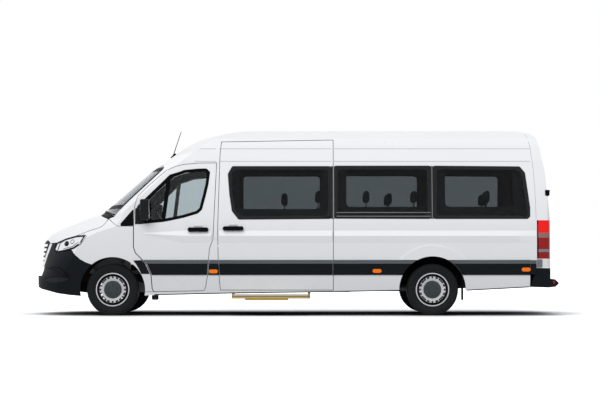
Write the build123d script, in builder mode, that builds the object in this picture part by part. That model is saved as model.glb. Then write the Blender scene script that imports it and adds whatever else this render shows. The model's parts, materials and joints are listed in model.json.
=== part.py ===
from build123d import *
from math import cos, radians, sin
import os

# A high-roof minibus on a long wheelbase, in millimetres.
# X runs from the bumper tip to the rear step, Y to the driver's side, Z up from the ground.
# Heights are above the ground. Places along the body are taken back from the bumper tip,
# or ahead of the rear step where a table says so.

os.makedirs("parts", exist_ok=True)

# ---------------------------------------------------------------- driving dimensions
length = 7140
wheelbase = 4325
front_overhang = 1107
track = 1710
tyre_radius = 349
tyre_width = 225
rim_radius = 226
rim_width = 196
front_arch_radius = 440
rear_arch_radius = 450
liner_thickness = 5
wall = 50
skin = 30
inner_wing = 25
glass = 6
seat_gap = 0.3
door_gap = 8
wing_gap = 12
glass_lap = 32
glass_gap = 3
corner_round = 30
gutter_height = 2098
floor_height = 600
floor_thickness = 40
firewall_back = 1170
firewall_thickness = 40
rail_inner = 380
rail_width = 70
rail_height = 110
axle_radius = 30
hub_reach = 62
hub_clearance = 0.5
kingpin_inset = 70
kingpin_radius = 22
rear_door_half = 862
rear_door_gap = 14
rear_door_bottom = 645
rear_door_top = 2290
rear_door_clearance = 20
cladding_thickness = 10
mirror_width = 137
half_width = 1172
flank_half = 1010
seat_width = 440
bumper_depth = 390
wheelhouse_y = 640
steered_y = 500
tow_bolt_spacing = 120
tow_bolt_radius = 6.5
jack_pad_length = 130
jack_pad_depth = 10
flare_radius = 609
flare_depth = 14
flare_taper = 20
recess_depth = 14
marker_length = 123
marker_height = 54
marker_depth = 8
handle_length = 270
handle_height = 30
handle_depth = 18
handle_reach = 36
mudflap_width = 200
mudflap_thickness = 12
mudflap_bottom = 207
slot_count = 16
slot_ring = 165
slot_radial = 22
slot_across = 24
cap_radius = 116

# ---------------------------------------------------------------- places that follow
nose_x = -length / 2
tail_x = length / 2
front_axle_x = nose_x + front_overhang
rear_axle_x = front_axle_x + wheelbase
wheel_y = track / 2
axle_z = tyre_radius
kingpin_y = wheel_y - kingpin_inset
floor_under = floor_height - floor_thickness
rail_top = floor_under - seat_gap
rail_under = rail_top - rail_height
beyond = 1300


def from_nose(points):
    return [(nose_x + back, height) for back, height in points]


def from_tail(points):
    return [(tail_x - ahead, height) for ahead, height in points]


# ---------------------------------------------------------------- outlines seen from the side
# Each point is (back from the bumper tip, height).
dashboard_outline = (
    (1211, 960), (1211, 1290), (1400, 1290), (1560, 1210), (1580, 1060), (1480, 960),
)
dashboard_half = 925
underside = (
    (-200, 392), (20, 392), (90, 360), (250, 325), (373, 297), (528, 275), (668, 263),
    (1590, 271), (2830, 298), (4086, 315), (4990, 333), (5881, 333), (6745, 379), (7400, 379),
    (7400, 100), (-200, 100),
)
bumper_outline = (
    (-200, 646), (118, 646), (229, 977), (292, 981), (260, 886), (327, 843), (453, 864),
    (532, 877), (596, 812), (670, 749), (742, 710), (815, 684), (1107, 500), (1107, 100), (-200, 100),
)
grille_outline = ((-200, 652), (68, 652), (178, 975), (178, 985), (128, 1022), (-200, 1022))
grille_frame_outline = ((68, 652), (112, 652), (222, 974), (192, 975), (178, 985), (178, 975))
bumper_recess_outline = (
    (-200, 515), (-200, 652), (150, 652), (260, 640), (360, 600), (440, 550), (500, 515),
)
headlamp_outline = (
    (268, 886), (303, 985), (449, 1042), (599, 1077), (729, 1087), (750, 1069), (677, 966),
    (582, 905), (452, 871), (329, 850),
)
bonnet_outline = (
    (-200, 1030), (130, 1030), (196, 982), (303, 991), (449, 1048), (599, 1083), (801, 1160),
    (906, 1189), (961, 1221), (989, 1251), (1022, 1305), (790, 1399), (-200, 1399),
)
cowl_outline = ((790, 1408), (1031, 1311), (1120, 1340), (960, 1414), (790, 1414))
wing_outline = (
    (620, 1085), (731, 1094), (758, 1069), (684, 961), (587, 899), (550, 889), (604, 819),
    (676, 757), (747, 718), (820, 692), (1107, 500), (1107, 322), (1720, 322), (1600, 1203),
    (1172, 1203), (1034, 1303), (1028, 1300), (994, 1247), (965, 1216), (909, 1183), (803, 1154),
)
inner_wing_outline = (
    (-200, 600), (-200, 1015), (125, 1015), (190, 965), (303, 972), (449, 1028), (599, 1062),
    (801, 1138), (906, 1166), (975, 1198), (1010, 1240), (1066, 1282), (1172, 1195), (1376, 1195),
    (1376, 980), (1107, 980), (815, 760), (620, 600),
)
body_outline = (
    (785, 1418), (1040, 1309), (1172, 1209), (1600, 1209), (1720, 316), (1107, 316), (1107, 100),
    (7400, 100), (7400, 2800), (785, 2800),
)
windscreen_outline = (
    (650, 1420), (962, 1420), (1128, 1345), (1161, 1396), (1324, 1565), (1765, 1980), (1782, 2020),
    (1765, 2055), (1600, 2066), (1100, 2066),
)
front_door_outline = (
    (1397, 1210), (1397, 921), (1424, 848), (1568, 704), (1632, 560), (1649, 361), (1668, 325),
    (2338, 338), (2359, 379), (2388, 541), (2401, 740), (2413, 902), (2461, 1029), (2505, 2063),
    (2247, 2059), (2066, 2042), (1953, 2015), (1821, 1957), (1721, 1874), (1562, 1737),
    (1444, 1613), (1406, 1464),
)
front_window_outline = (
    (1438, 1480), (1876, 1907), (2020, 1951), (2066, 1970), (2247, 1988), (2374, 1992), (2423, 1942),
    (2401, 1770), (2359, 1590), (2316, 1428), (2257, 1374), (2066, 1318), (1885, 1279), (1786, 1261),
    (1438, 1228),
)
mirror_foot_outline = ((1412, 1234), (1540, 1244), (1540, 1545), (1412, 1440))
sliding_door_outline = (
    (2569, 347), (4087, 347), (4087, 2379), (2575, 2352), (2558, 2169), (2532, 1193), (2540, 740),
    (2555, 469),
)
middle_window_outline = (
    (2659, 1915), (2681, 1644), (2717, 1409), (2808, 1292), (4070, 1301), (4070, 2024), (2720, 2024),
)
side_window_front = 4101
# Points (ahead of the rear step, height).
rear_window_outline = (
    (1699, 1301), (1699, 2030), (520, 2020), (447, 1934), (385, 1463), (385, 1337), (420, 1301),
)
side_window_ahead = 1723
tail_lamp_outline = ((300, 767), (300, 1286), (60, 1286), (60, 767))
rear_bumper_outline = (
    (308, 639), (323, 570), (384, 385), (137, 377), (46, 389), (0, 438), (52, 489), (112, 497),
    (112, 639),
)
cladding_low = 547
cladding_high = 750

# ---------------------------------------------------------------- the body's form
# Half of the cross-section behind the cab.
section_half = (
    # half_width, height
    (950, 300), (985, 560), (1005, 750), (flank_half, 1145), (1000, 1290), (925, 2096), (895, 2260),
    (845, 2400), (770, 2478), (680, 2510),
)
crown_height = 2557
body_bottom = 200
quarter_y = 450
corner_y = 800
side_y = 1012
rear_corner = 85

# Plan sections of the whole body, from the sill to the roof crown.
plan_stations = (
    # height, centre_back, quarter_back, corner_back, side_back, rear_ahead
    (200, 70, 110, 240, 520, 115),
    (392, 0, 35, 155, 490, 115),
    (480, 0, 35, 155, 490, 115),
    (560, 25, 65, 190, 510, 115),
    (660, 45, 105, 250, 540, 115),
    (820, 40, 130, 340, 590, 115),
    (980, 52, 195, 450, 680, 115),
    (1056, 105, 250, 550, 770, 115),
    (1117, 174, 330, 653, 890, 115),
    (1200, 342, 510, 880, 1150, 115),
    (1300, 597, 740, 1025, 1240, 115),
    (1385, 865, 940, 1110, 1260, 122),
    (1958, 1528, 1598, 1750, 1910, 180),
    (2090, 1705, 1778, 1935, 2110, 212),
    (2277, 1965, 2040, 2210, 2400, 245),
    (2374, 2125, 2205, 2385, 2580, 270),
    (2441, 2288, 2370, 2560, 2770, 312),
    (2483, 2457, 2545, 2740, 2950, 380),
    (2512, 2626, 2720, 2930, 3150, 480),
    (2540, 3133, 3240, 3470, 3700, 700),
    (2575, 4200, 4320, 4600, 4900, 1500),
)


def body_form(inset):
    """The closed form of the body, moved inwards everywhere by inset."""
    with BuildPart() as form:
        for height, centre, quarter, corner, side, rear in plan_stations:
            front = nose_x + inset * 1.25
            back = tail_x - rear - inset
            flank = side_y - inset
            bend = rear_corner - inset * 0.4
            lean = bend * (1 - cos(radians(45)))
            with BuildSketch(Plane.XY.offset(height)):
                with BuildLine():
                    ThreePointArc(
                        (front + quarter, -quarter_y),
                        (front + centre, 0),
                        (front + quarter, quarter_y),
                    )
                    for way in (-1, 1):
                        ThreePointArc(
                            (front + quarter, way * quarter_y),
                            (front + corner, way * (corner_y - inset)),
                            (front + side, way * flank),
                        )
                        Line((front + side, way * flank), (back - bend, way * flank))
                        ThreePointArc(
                            (back - bend, way * flank),
                            (back - lean, way * (flank - lean)),
                            (back, way * (flank - bend)),
                        )
                    Line((back, bend - flank), (back, flank - bend))
                make_face()
        loft(ruled=True)
        shoulder = [(half - inset, height) for half, height in section_half[:-1]]
        top_half, top_height = section_half[-1]
        shoulder.append((top_half - inset, top_height - inset))
        far_side = [(-half, height) for half, height in shoulder]
        low_half = shoulder[0][0]
        with BuildSketch(Plane.YZ.offset(nose_x - beyond)):
            with BuildLine():
                Polyline((-low_half, body_bottom), (low_half, body_bottom), *shoulder)
                ThreePointArc(shoulder[-1], (0, crown_height - inset), far_side[-1])
                Polyline((-low_half, body_bottom), *far_side)
            make_face()
        extrude(amount=length + 2 * beyond, mode=Mode.INTERSECT)
    return form.part


def side_prism(outline, side=0, grow=0, soften=0):
    """A block with this outline seen from the side: right across (0), near (-1) or far (1)."""
    with BuildPart() as prism:
        with BuildSketch(Plane.XZ):
            Polygon(*outline, align=None)
            if grow:
                offset(amount=grow, kind=Kind.INTERSECTION, mode=Mode.REPLACE)
            if soften:
                offset(amount=-soften, kind=Kind.INTERSECTION, mode=Mode.REPLACE)
                offset(amount=soften, mode=Mode.REPLACE)
        if side:
            extrude(amount=-side * beyond)
        else:
            extrude(amount=beyond, both=True)
    return prism.part


def span_box(x_span, y_span, z_span, mode=Mode.ADD):
    """A block between two values on each axis."""
    spans = (x_span, y_span, z_span)
    with Locations(tuple((low + high) / 2 for low, high in spans)):
        Box(*(high - low for low, high in spans), mode=mode)


def cross_tube(axle_x, radius, y_span, mode=Mode.ADD, height=axle_z):
    """A round bar across the vehicle."""
    low, high = y_span
    with BuildSketch(Plane.XZ.offset(-low)) as disc:
        with Locations((axle_x, height)):
            Circle(radius)
    extrude(disc.sketch, amount=low - high, mode=mode)


def save(piece, name):
    piece.label = name
    export_step(piece, f"parts/{name}.step")


def sided(y_near, y_far, side):
    """A span of Y on one side, given by its distances from the middle."""
    return (min(side * y_near, side * y_far), max(side * y_near, side * y_far))


outer_form = body_form(0)
below_glass = body_form(glass)
pocket_form = body_form(glass + seat_gap)
skin_form = body_form(skin)
wall_form = body_form(wall)
cabin_form = body_form(wall + seat_gap)
proud_form = body_form(-cladding_thickness)
touch_form = body_form(-seat_gap)
recess_form = body_form(recess_depth)
inner_wing_form = body_form(skin + seat_gap)
inner_wing_back = body_form(skin + inner_wing)

with BuildPart() as trimmed:
    add(outer_form)
    add(side_prism(from_nose(underside)), mode=Mode.SUBTRACT)
    cross_tube(front_axle_x, front_arch_radius, (-beyond, beyond), Mode.SUBTRACT)
    cross_tube(rear_axle_x, rear_arch_radius, (-beyond, beyond), Mode.SUBTRACT)
with BuildPart() as thick_shell:
    add(trimmed.part)
    add(wall_form, mode=Mode.SUBTRACT)
with BuildPart() as thin_shell:
    add(trimmed.part)
    add(skin_form, mode=Mode.SUBTRACT)
with BuildPart() as glass_shell:
    add(outer_form)
    add(below_glass, mode=Mode.SUBTRACT)
with BuildPart() as pocket_shell:
    add(outer_form)
    add(pocket_form, mode=Mode.SUBTRACT)
with BuildPart() as trim_shell:
    add(proud_form)
    add(touch_form, mode=Mode.SUBTRACT)
    cross_tube(front_axle_x, front_arch_radius, (-beyond, beyond), Mode.SUBTRACT)
    cross_tube(rear_axle_x, rear_arch_radius, (-beyond, beyond), Mode.SUBTRACT)


def window_pocket(outline, side):
    """The shallow seat in the skin that a pane lies in."""
    with BuildPart() as pocket:
        add(pocket_shell.part)
        add(side_prism(outline, side, soften=corner_round), mode=Mode.INTERSECT)
    return pocket.part


def glazed(windows, side=0):
    """Cuts each window through the open block: the pane's pocket and the opening in it."""
    for outline in windows:
        add(window_pocket(outline, side), mode=Mode.SUBTRACT)
        add(side_prism(outline, side, grow=-glass_lap, soften=corner_round), mode=Mode.SUBTRACT)


def pane(outline, side=0):
    """A pane that lies in its pocket, flush with the skin."""
    with BuildPart() as sheet:
        add(glass_shell.part)
        add(side_prism(outline, side, grow=-glass_gap, soften=corner_round - glass_gap),
            mode=Mode.INTERSECT)
    return sheet.part


def outlined(shell, outline, side=0, grow=0):
    """The stretch of a shell inside an outline."""
    with BuildPart() as stretch:
        add(shell)
        add(side_prism(outline, side, grow=grow), mode=Mode.INTERSECT)
    return stretch.part


def arch_flare(side):
    """The raised rim over a rear wheel arch, with flat ends at the top of the cladding."""
    flare_seat = flank_half - skin
    with BuildPart() as flare:
        with BuildSketch(Plane.XZ.offset(-side * flare_seat)):
            with Locations((rear_axle_x, axle_z)):
                Circle(flare_radius)
        extrude(amount=-side * (flare_depth + skin), taper=flare_taper)
        cross_tube(rear_axle_x, rear_arch_radius, (-beyond, beyond), Mode.SUBTRACT)
        span_box((rear_axle_x - beyond, rear_axle_x + beyond), (-beyond, beyond), (-beyond, cladding_high),
                 Mode.SUBTRACT)
    return flare.part


front_door = from_nose(front_door_outline)
front_window = from_nose(front_window_outline)
sliding_door = from_nose(sliding_door_outline)
middle_window = from_nose(middle_window_outline)
windscreen_edge = from_nose(windscreen_outline)
rear_window = from_tail(rear_window_outline)
tail_lamp = from_tail(tail_lamp_outline)
side_window = [
    (nose_x + side_window_front, 1305), (tail_x - side_window_ahead, 1301),
    (tail_x - side_window_ahead, 2030), (nose_x + side_window_front, 2030),
]
rear_span = (tail_x - 420, tail_x + 60)
body_span = (nose_x - beyond, tail_x + beyond)
rear_opening = rear_door_half + door_gap

# ---------------------------------------------------------------- body shell, roof and sides
windows_left = (side_window, rear_window)
windows_right = (middle_window, side_window, rear_window)


def lamp_block(side, gap):
    """The corner of the body that a tail lamp fills, outboard of the rear door."""
    with BuildPart() as corner:
        add(side_prism(tail_lamp, side, grow=gap))
        span_box((0, tail_x), sided(rear_opening + seat_gap - gap, beyond, side), (0, gutter_height),
                 Mode.INTERSECT)
    return corner.part


with BuildPart() as body_shell:
    add(thick_shell.part)
    add(side_prism(from_nose(body_outline)), mode=Mode.INTERSECT)
    add(side_prism(from_nose(cowl_outline), grow=3), mode=Mode.SUBTRACT)
    add(side_prism(front_door, grow=door_gap), mode=Mode.SUBTRACT)
    add(side_prism(sliding_door, -1, grow=door_gap), mode=Mode.SUBTRACT)
    glazed([windscreen_edge])
    glazed(windows_left, -1)
    glazed(windows_right, 1)
    span_box(rear_span, (-rear_opening, rear_opening),
             (rear_door_bottom - door_gap, rear_door_top + rear_door_clearance), Mode.SUBTRACT)
    for side in (-1, 1):
        add(lamp_block(side, seat_gap), mode=Mode.SUBTRACT)
    # The shell ends behind the rear bumper, which closes it below the doors.
    span_box((tail_x - bumper_depth, tail_x + 60), (-beyond, beyond), (0, rear_door_bottom), Mode.SUBTRACT)

with BuildPart() as roof:
    add(body_shell.part)
    span_box(body_span, (-beyond, beyond), (gutter_height, crown_height + beyond), Mode.INTERSECT)
save(roof.part, "roof")

for side, name in ((-1, "left"), (1, "right")):
    with BuildPart() as body_side:
        add(body_shell.part)
        span_box(body_span, sided(0, beyond, side), (0, gutter_height), Mode.INTERSECT)
        add(arch_flare(side))
    save(body_side.part, f"body_side_{name}")

save(outlined(thick_shell.part, from_nose(cowl_outline)), "cowl")
save(pane(windscreen_edge), "windscreen")

with BuildPart() as side_glass:
    for outline in windows_left:
        add(pane(outline, -1))
    for outline in windows_right:
        add(pane(outline, 1))
save(side_glass.part, "side_glass")

# ---------------------------------------------------------------- nose: bonnet, wings, bumper, grille, lamps
with BuildPart() as bumper_recess:
    add(outer_form)
    add(recess_form, mode=Mode.SUBTRACT)
    add(side_prism(from_nose(bumper_recess_outline)), mode=Mode.INTERSECT)

for outline, name in (
    (bonnet_outline, "bonnet"), (wing_outline, "front_wings"), (bumper_outline, "front_bumper"),
):
    with BuildPart() as panel:
        add(thin_shell.part)
        add(side_prism(from_nose(outline)), mode=Mode.INTERSECT)
        add(side_prism(front_door, grow=wing_gap), mode=Mode.SUBTRACT)
        if name == "front_bumper":
            add(bumper_recess.part, mode=Mode.SUBTRACT)
    save(panel.part, name)

grille_bars = 5
bar_pitch = 62
slot_height = 38
first_slot = 690
with BuildPart() as grille:
    add(outlined(thin_shell.part, from_nose(grille_outline)))
    for slot in range(grille_bars):
        slot_low = first_slot + slot * bar_pitch
        half = 400 - slot * 8
        span_box((nose_x - 50, nose_x + 400), (-half, half), (slot_low, slot_low + slot_height),
                 Mode.SUBTRACT)
save(grille.part, "grille")
save(outlined(thin_shell.part, from_nose(grille_frame_outline)), "grille_frame")
save(outlined(thin_shell.part, from_nose(headlamp_outline)), "headlamps")

# ---------------------------------------------------------------- doors


def mirror_head(side):
    """The rounded housing of an outside mirror."""
    with BuildPart() as head:
        span_box((nose_x + 1489, nose_x + 1615), sided(half_width - mirror_width, half_width, side),
                 (1288, 1568))
        fillet(head.edges(), 28)
    return head.part


def pull_handle(front_x, low, side):
    """A bar handle on two feet that stand on the skin."""
    skin_y = flank_half + seat_gap
    with BuildPart() as handle:
        span_box((front_x, front_x + handle_length),
                 sided(skin_y + handle_reach - handle_depth, skin_y + handle_reach, side),
                 (low, low + handle_height))
        fillet(handle.edges().filter_by(Axis.Z), 8)
        for foot_x in (front_x, front_x + handle_length - 36):
            span_box((foot_x + 3, foot_x + 33), sided(skin_y - skin, skin_y + handle_reach - 4, side),
                     (low, low + handle_height))
        add(touch_form, mode=Mode.SUBTRACT)
    return handle.part


for side, name in ((-1, "left"), (1, "right")):
    with BuildPart() as door:
        add(thick_shell.part)
        add(side_prism(front_door, side), mode=Mode.INTERSECT)
        glazed([front_window], side)
    save(door.part, f"front_door_{name}")
    save(pane(front_window, side), f"front_door_glass_{name}")

    with BuildPart() as strip:
        add(outlined(trim_shell.part, front_door, side, grow=-4))
        span_box(body_span, (-beyond, beyond), (cladding_low, cladding_high), Mode.INTERSECT)
    with BuildPart() as door_trim:
        add(strip.part)
        add(outlined(trim_shell.part, from_nose(mirror_foot_outline), side))
        span_box((nose_x + 1455, nose_x + 1535), sided(1004, 1050, side), (1330, 1390))
        add(mirror_head(side))
        add(pull_handle(nose_x + 2130, 1144, side))
    save(door_trim.part, f"front_door_trim_{name}")

with BuildPart() as sliding:
    add(thick_shell.part)
    add(side_prism(sliding_door, -1), mode=Mode.INTERSECT)
    glazed([middle_window], -1)
save(sliding.part, "sliding_door")
save(pane(middle_window, -1), "sliding_door_glass")
save(pull_handle(nose_x + 2603, 1160, -1), "sliding_door_handle")


with BuildPart() as sliding_seam:
    add(side_prism(sliding_door, -1, grow=2))
    add(side_prism(sliding_door, -1, grow=-4), mode=Mode.SUBTRACT)


def cladding_band(side):
    """The rubbing band along one side, behind the front door."""
    with BuildPart() as band:
        add(trim_shell.part)
        span_box((nose_x + 2300, tail_x - bumper_depth), sided(0, beyond, side),
                 (cladding_low, cladding_high), Mode.INTERSECT)
        add(side_prism(front_door, side, grow=door_gap + 4), mode=Mode.SUBTRACT)
        add(sliding_seam.part, mode=Mode.SUBTRACT)
    return band.part


with BuildPart() as cladding:
    add(cladding_band(-1))
    add(cladding_band(1))
save(cladding.part, "cladding")

# Places of the side markers: back from the bumper tip, height.
marker_places = ((2471, 595), (4681, 601), (6694, 620))
marker_lean = 6
with BuildPart() as side_markers:
    for side in (-1, 1):
        for back, height in marker_places:
            seat_y = 985 + cladding_thickness + (height - floor_under) * sin(radians(marker_lean)) + seat_gap
            lens_plane = Plane(
                origin=(nose_x + back, side * seat_y, height), x_dir=(1, 0, 0),
                z_dir=(0, side * cos(radians(marker_lean)), -sin(radians(marker_lean))),
            )
            with BuildSketch(lens_plane):
                SlotOverall(marker_length, marker_height)
            extrude(amount=marker_depth, taper=20)
save(side_markers.part, "side_markers")

rear_window_half = (110, 770)
rear_window_low, rear_window_high = 1330, 2060


def rear_pane_block(side, shell, edge):
    """The stretch of a shell inside a rear door's window, drawn in by an edge."""
    with BuildPart() as pane_block:
        add(shell)
        span_box(rear_span, sided(rear_window_half[0] + edge, rear_window_half[1] - edge, side),
                 (rear_window_low + edge, rear_window_high - edge), Mode.INTERSECT)
    return pane_block.part


for side, name in ((-1, "left"), (1, "right")):
    with BuildPart() as rear_door:
        add(thick_shell.part)
        span_box(rear_span, sided(rear_door_gap / 2, rear_door_half, side),
                 (rear_door_bottom, rear_door_top), Mode.INTERSECT)
        add(rear_pane_block(side, pocket_shell.part, 0), mode=Mode.SUBTRACT)
        span_box(rear_span, sided(rear_window_half[0] + glass_lap, rear_window_half[1] - glass_lap, side),
                 (rear_window_low + glass_lap, rear_window_high - glass_lap), Mode.SUBTRACT)
    save(rear_door.part, f"rear_door_{name}")
    save(rear_pane_block(side, glass_shell.part, glass_gap), f"rear_door_glass_{name}")

# ---------------------------------------------------------------- tail: lamps and bumper


def lamp_cover(side):
    """One tail lamp, as thick as the body's wall."""
    with BuildPart() as cover:
        add(thick_shell.part)
        add(lamp_block(side, 0), mode=Mode.INTERSECT)
    return cover.part


with BuildPart() as tail_lamps:
    add(lamp_cover(-1))
    add(lamp_cover(1))
save(tail_lamps.part, "tail_lamps")

bumper_half = 985
with BuildPart() as rear_bumper:
    with BuildSketch(Plane.XZ):
        Polygon(*from_tail(rear_bumper_outline), align=None)
    extrude(amount=bumper_half, both=True)
    fillet(rear_bumper.edges().filter_by(Axis.Z).sort_by(Axis.X)[-2:], 30)
save(rear_bumper.part, "rear_bumper")

# ---------------------------------------------------------------- floor, frame and running gear
firewall_top = 1330
with BuildPart() as inner_wings:
    add(inner_wing_form)
    add(inner_wing_back, mode=Mode.SUBTRACT)
    add(side_prism(from_nose(inner_wing_outline)), mode=Mode.INTERSECT)
    # The radiator draws its air through this opening.
    span_box((nose_x, nose_x + 420), (-410, 410), (670, 1000), Mode.SUBTRACT)
with BuildPart() as cabin_plates:
    span_box((nose_x + firewall_back, tail_x - 340), (-beyond, beyond), (floor_under, floor_height))
    span_box((nose_x + firewall_back, nose_x + firewall_back + firewall_thickness),
             (-beyond, beyond), (floor_under, firewall_top))
with BuildPart() as floor_pan:
    add(cabin_form)
    add(cabin_plates.part, mode=Mode.INTERSECT)
    add(inner_wings.part)
    for side in (-1, 1):
        cross_tube(front_axle_x, front_arch_radius, sided(steered_y, beyond, side), Mode.SUBTRACT)
        cross_tube(rear_axle_x, rear_arch_radius, sided(wheelhouse_y, beyond, side), Mode.SUBTRACT)
save(floor_pan.part, "floor_pan")

liner_out = 945


def arch_liner(axle_x, radius, inner, side):
    """The lining of one wheel arch, open to the wheel and below."""
    with BuildPart() as liner:
        cross_tube(axle_x, radius - seat_gap, sided(inner + 1, liner_out, side))
        closed_from = inner + 1 + liner_thickness
        if inner == steered_y:
            closed_from = 0
        cross_tube(axle_x, radius - liner_thickness, sided(closed_from, beyond, side), Mode.SUBTRACT)
        span_box((axle_x - radius, axle_x + radius), sided(0, beyond, side), (-radius, floor_under - 20),
                 Mode.SUBTRACT)
    return liner.part


def mudflap(side):
    """The flap that hangs behind a rear wheel from the lining's edge."""
    with BuildPart() as flap:
        flap_x = rear_axle_x + 405
        span_box((flap_x, flap_x + mudflap_thickness), sided(liner_out - mudflap_width, liner_out, side),
                 (mudflap_bottom, floor_under))
        cross_tube(rear_axle_x, rear_arch_radius - seat_gap, (-beyond, beyond), Mode.INTERSECT)
    return flap.part


with BuildPart() as wheel_liners:
    for side in (-1, 1):
        add(arch_liner(front_axle_x, front_arch_radius, steered_y, side))
        add(arch_liner(rear_axle_x, rear_arch_radius, wheelhouse_y, side))
        add(mudflap(side))
save(wheel_liners.part, "wheel_liners")

jack_pad_backs = (1500, 4600)
cross_members = (
    nose_x + 300, front_axle_x, nose_x + 2400, nose_x + 3700, rear_axle_x - 700, rear_axle_x + 700,
    tail_x - bumper_depth - 40,
)
rail_middle = rail_inner + rail_width / 2
tow_x = tail_x - bumper_depth - 150
with BuildPart() as chassis_frame:
    for side in (-1, 1):
        span_box((nose_x + 260, tail_x - 310), sided(rail_inner, rail_inner + rail_width, side),
                 (rail_under, rail_top))
        for back in jack_pad_backs:
            span_box((nose_x + back - jack_pad_length / 2, nose_x + back + jack_pad_length / 2),
                     sided(rail_inner, rail_inner + rail_width, side),
                     (rail_under - jack_pad_depth, rail_under))
    for cross_x in cross_members:
        span_box((cross_x - 40, cross_x + 40), (-rail_inner, rail_inner), (rail_under + 20, rail_top - 20))
    add(side_prism(from_tail(rear_bumper_outline), grow=seat_gap), mode=Mode.SUBTRACT)
    with Locations(*(
        (tow_x + way * tow_bolt_spacing / 2, side * rail_middle, rail_top)
        for way in (-1, 1) for side in (-1, 1)
    )):
        Hole(tow_bolt_radius, rail_height)
save(chassis_frame.part, "chassis_frame")

with BuildPart() as engine:
    span_box((nose_x + 380, nose_x + 1150), (-280, 280), (rail_top + 5, 1000))
    span_box((nose_x + 700, nose_x + 800), (-430, 430), (rail_top + seat_gap, rail_top + 60))
    # The radiator, and its hose to the engine.
    span_box((nose_x + 240, nose_x + 290), (-370, 370), (rail_top - 20 + seat_gap, 960))
    span_box((nose_x + 290, nose_x + 380), (-60, 60), (700, 820))
save(engine.part, "engine")

arm_low, arm_high = axle_z - 105, axle_z + 105
damper_y, damper_radius, damper_top = 580, 38, 690
with BuildPart() as front_suspension:
    for side in (-1, 1):
        rail_out = rail_inner + rail_width
        for arm_z, root_y in ((arm_low, rail_out - 40), (arm_high, rail_out + seat_gap)):
            span_box((front_axle_x - 35, front_axle_x + 35), sided(root_y, kingpin_y + 20, side),
                     (arm_z - 12, arm_z + 12))
        span_box((front_axle_x - 60, front_axle_x + 60), sided(rail_out - 60, rail_out + 40, side),
                 (arm_low - 12, rail_under - seat_gap))
        with Locations((front_axle_x, side * damper_y, (arm_low + damper_top) / 2)):
            Cylinder(damper_radius, damper_top - arm_low)
save(front_suspension.part, "front_suspension")

for side, name in ((-1, "left"), (1, "right")):
    with BuildPart() as knuckle:
        with Locations((front_axle_x, side * kingpin_y, axle_z)):
            Cylinder(kingpin_radius, arm_high - arm_low - 24 - 2 * seat_gap)
        cross_tube(front_axle_x, axle_radius, sided(kingpin_y, wheel_y + hub_reach, side))
    save(knuckle.part, f"knuckle_{name}")

spring_half, spring_pad, spring_height = 640, 70, 32
with BuildPart() as rear_axle:
    cross_tube(rear_axle_x, 42, (-690, 690))
    cross_tube(rear_axle_x, axle_radius, (-wheel_y - hub_reach, wheel_y + hub_reach))
    cross_tube(rear_axle_x, 140, (-110, 110))
    for side in (-1, 1):
        spring_low = axle_z + 30
        span_box((rear_axle_x - spring_half, rear_axle_x + spring_half),
                 sided(rail_inner + 110, rail_inner + 180, side), (spring_low, spring_low + spring_height))
        for end_x in (rear_axle_x - spring_half, rear_axle_x + spring_half - spring_pad):
            span_box((end_x, end_x + spring_pad),
                     sided(rail_inner + rail_width + seat_gap, rail_inner + 180, side),
                     (spring_low, rail_under + 60))
save(rear_axle.part, "rear_axle")

shaft_front = nose_x + 1900
with BuildPart() as gearbox:
    span_box((nose_x + 1240, shaft_front), (-150, 150), (300, floor_under - 10))
    with BuildSketch(Plane.YZ.offset(shaft_front)):
        with Locations((0, axle_z)):
            Circle(38)
    extrude(amount=rear_axle_x - 140 - seat_gap - shaft_front)
save(gearbox.part, "gearbox")

with BuildPart() as fuel_tank:
    span_box((nose_x + 2900, nose_x + 3650), sided(470, 830, 1), (320, floor_under - seat_gap))
    fillet(fuel_tank.edges().filter_by(Axis.X), 30)
save(fuel_tank.part, "fuel_tank")

pipe_radius, silencer_radius, pipe_z, pipe_y = 27, 85, 380, 250
with BuildPart() as exhaust:
    with BuildLine(Plane.XY.offset(pipe_z)):
        FilletPolyline((nose_x + 1500, pipe_y), (nose_x + 4720, pipe_y), (nose_x + 4720, 890), radius=120)
    with BuildSketch(Plane.YZ.offset(nose_x + 1500)):
        with Locations((pipe_y, pipe_z)):
            Circle(pipe_radius)
    sweep()
    with BuildSketch(Plane.YZ.offset(nose_x + 3700)):
        with Locations((pipe_y, pipe_z)):
            Circle(silencer_radius)
    extrude(amount=650)
    # The hanger reaches up to the underside of a cross member.
    span_box((nose_x + 2390, nose_x + 2410), (pipe_y - 5, pipe_y + 5),
             (pipe_z + 5, rail_under + 20 - seat_gap))
save(exhaust.part, "exhaust")

# ---------------------------------------------------------------- wheels
half_tyre = tyre_width / 2
half_rim = rim_width / 2
hub_bore = axle_radius + hub_clearance
disc_face = hub_reach + 4
tyre_profile = (
    # across, radius
    (-half_rim, rim_radius + seat_gap), (-half_tyre, 275), (-half_tyre + 6, 322),
    (-half_tyre + 28, tyre_radius), (half_tyre - 28, tyre_radius), (half_tyre - 6, 322),
    (half_tyre, 275), (half_rim, rim_radius + seat_gap),
)
rim_profile = (
    (half_rim, rim_radius), (half_rim, 212), (50, 202), (disc_face + 16, 178), (disc_face + 16, 150),
    (disc_face, 120), (disc_face, hub_bore), (disc_face - 14, hub_bore), (disc_face - 14, 128),
    (disc_face, 156), (38, 192), (-half_rim, 208), (-half_rim, rim_radius),
)
cap_rim = 10
cap_dome = 10
cap_crown_radius = 70


def turned(profile, axle_x, side):
    """A closed profile turned about the wheel's axis."""
    with BuildPart() as ring:
        with BuildSketch(Plane.YZ.offset(axle_x)):
            Polygon(*((side * (wheel_y + across), axle_z + radius) for across, radius in profile), align=None)
        revolve(axis=Axis((axle_x, 0, axle_z), (0, 1, 0)))
    return ring.part


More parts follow.
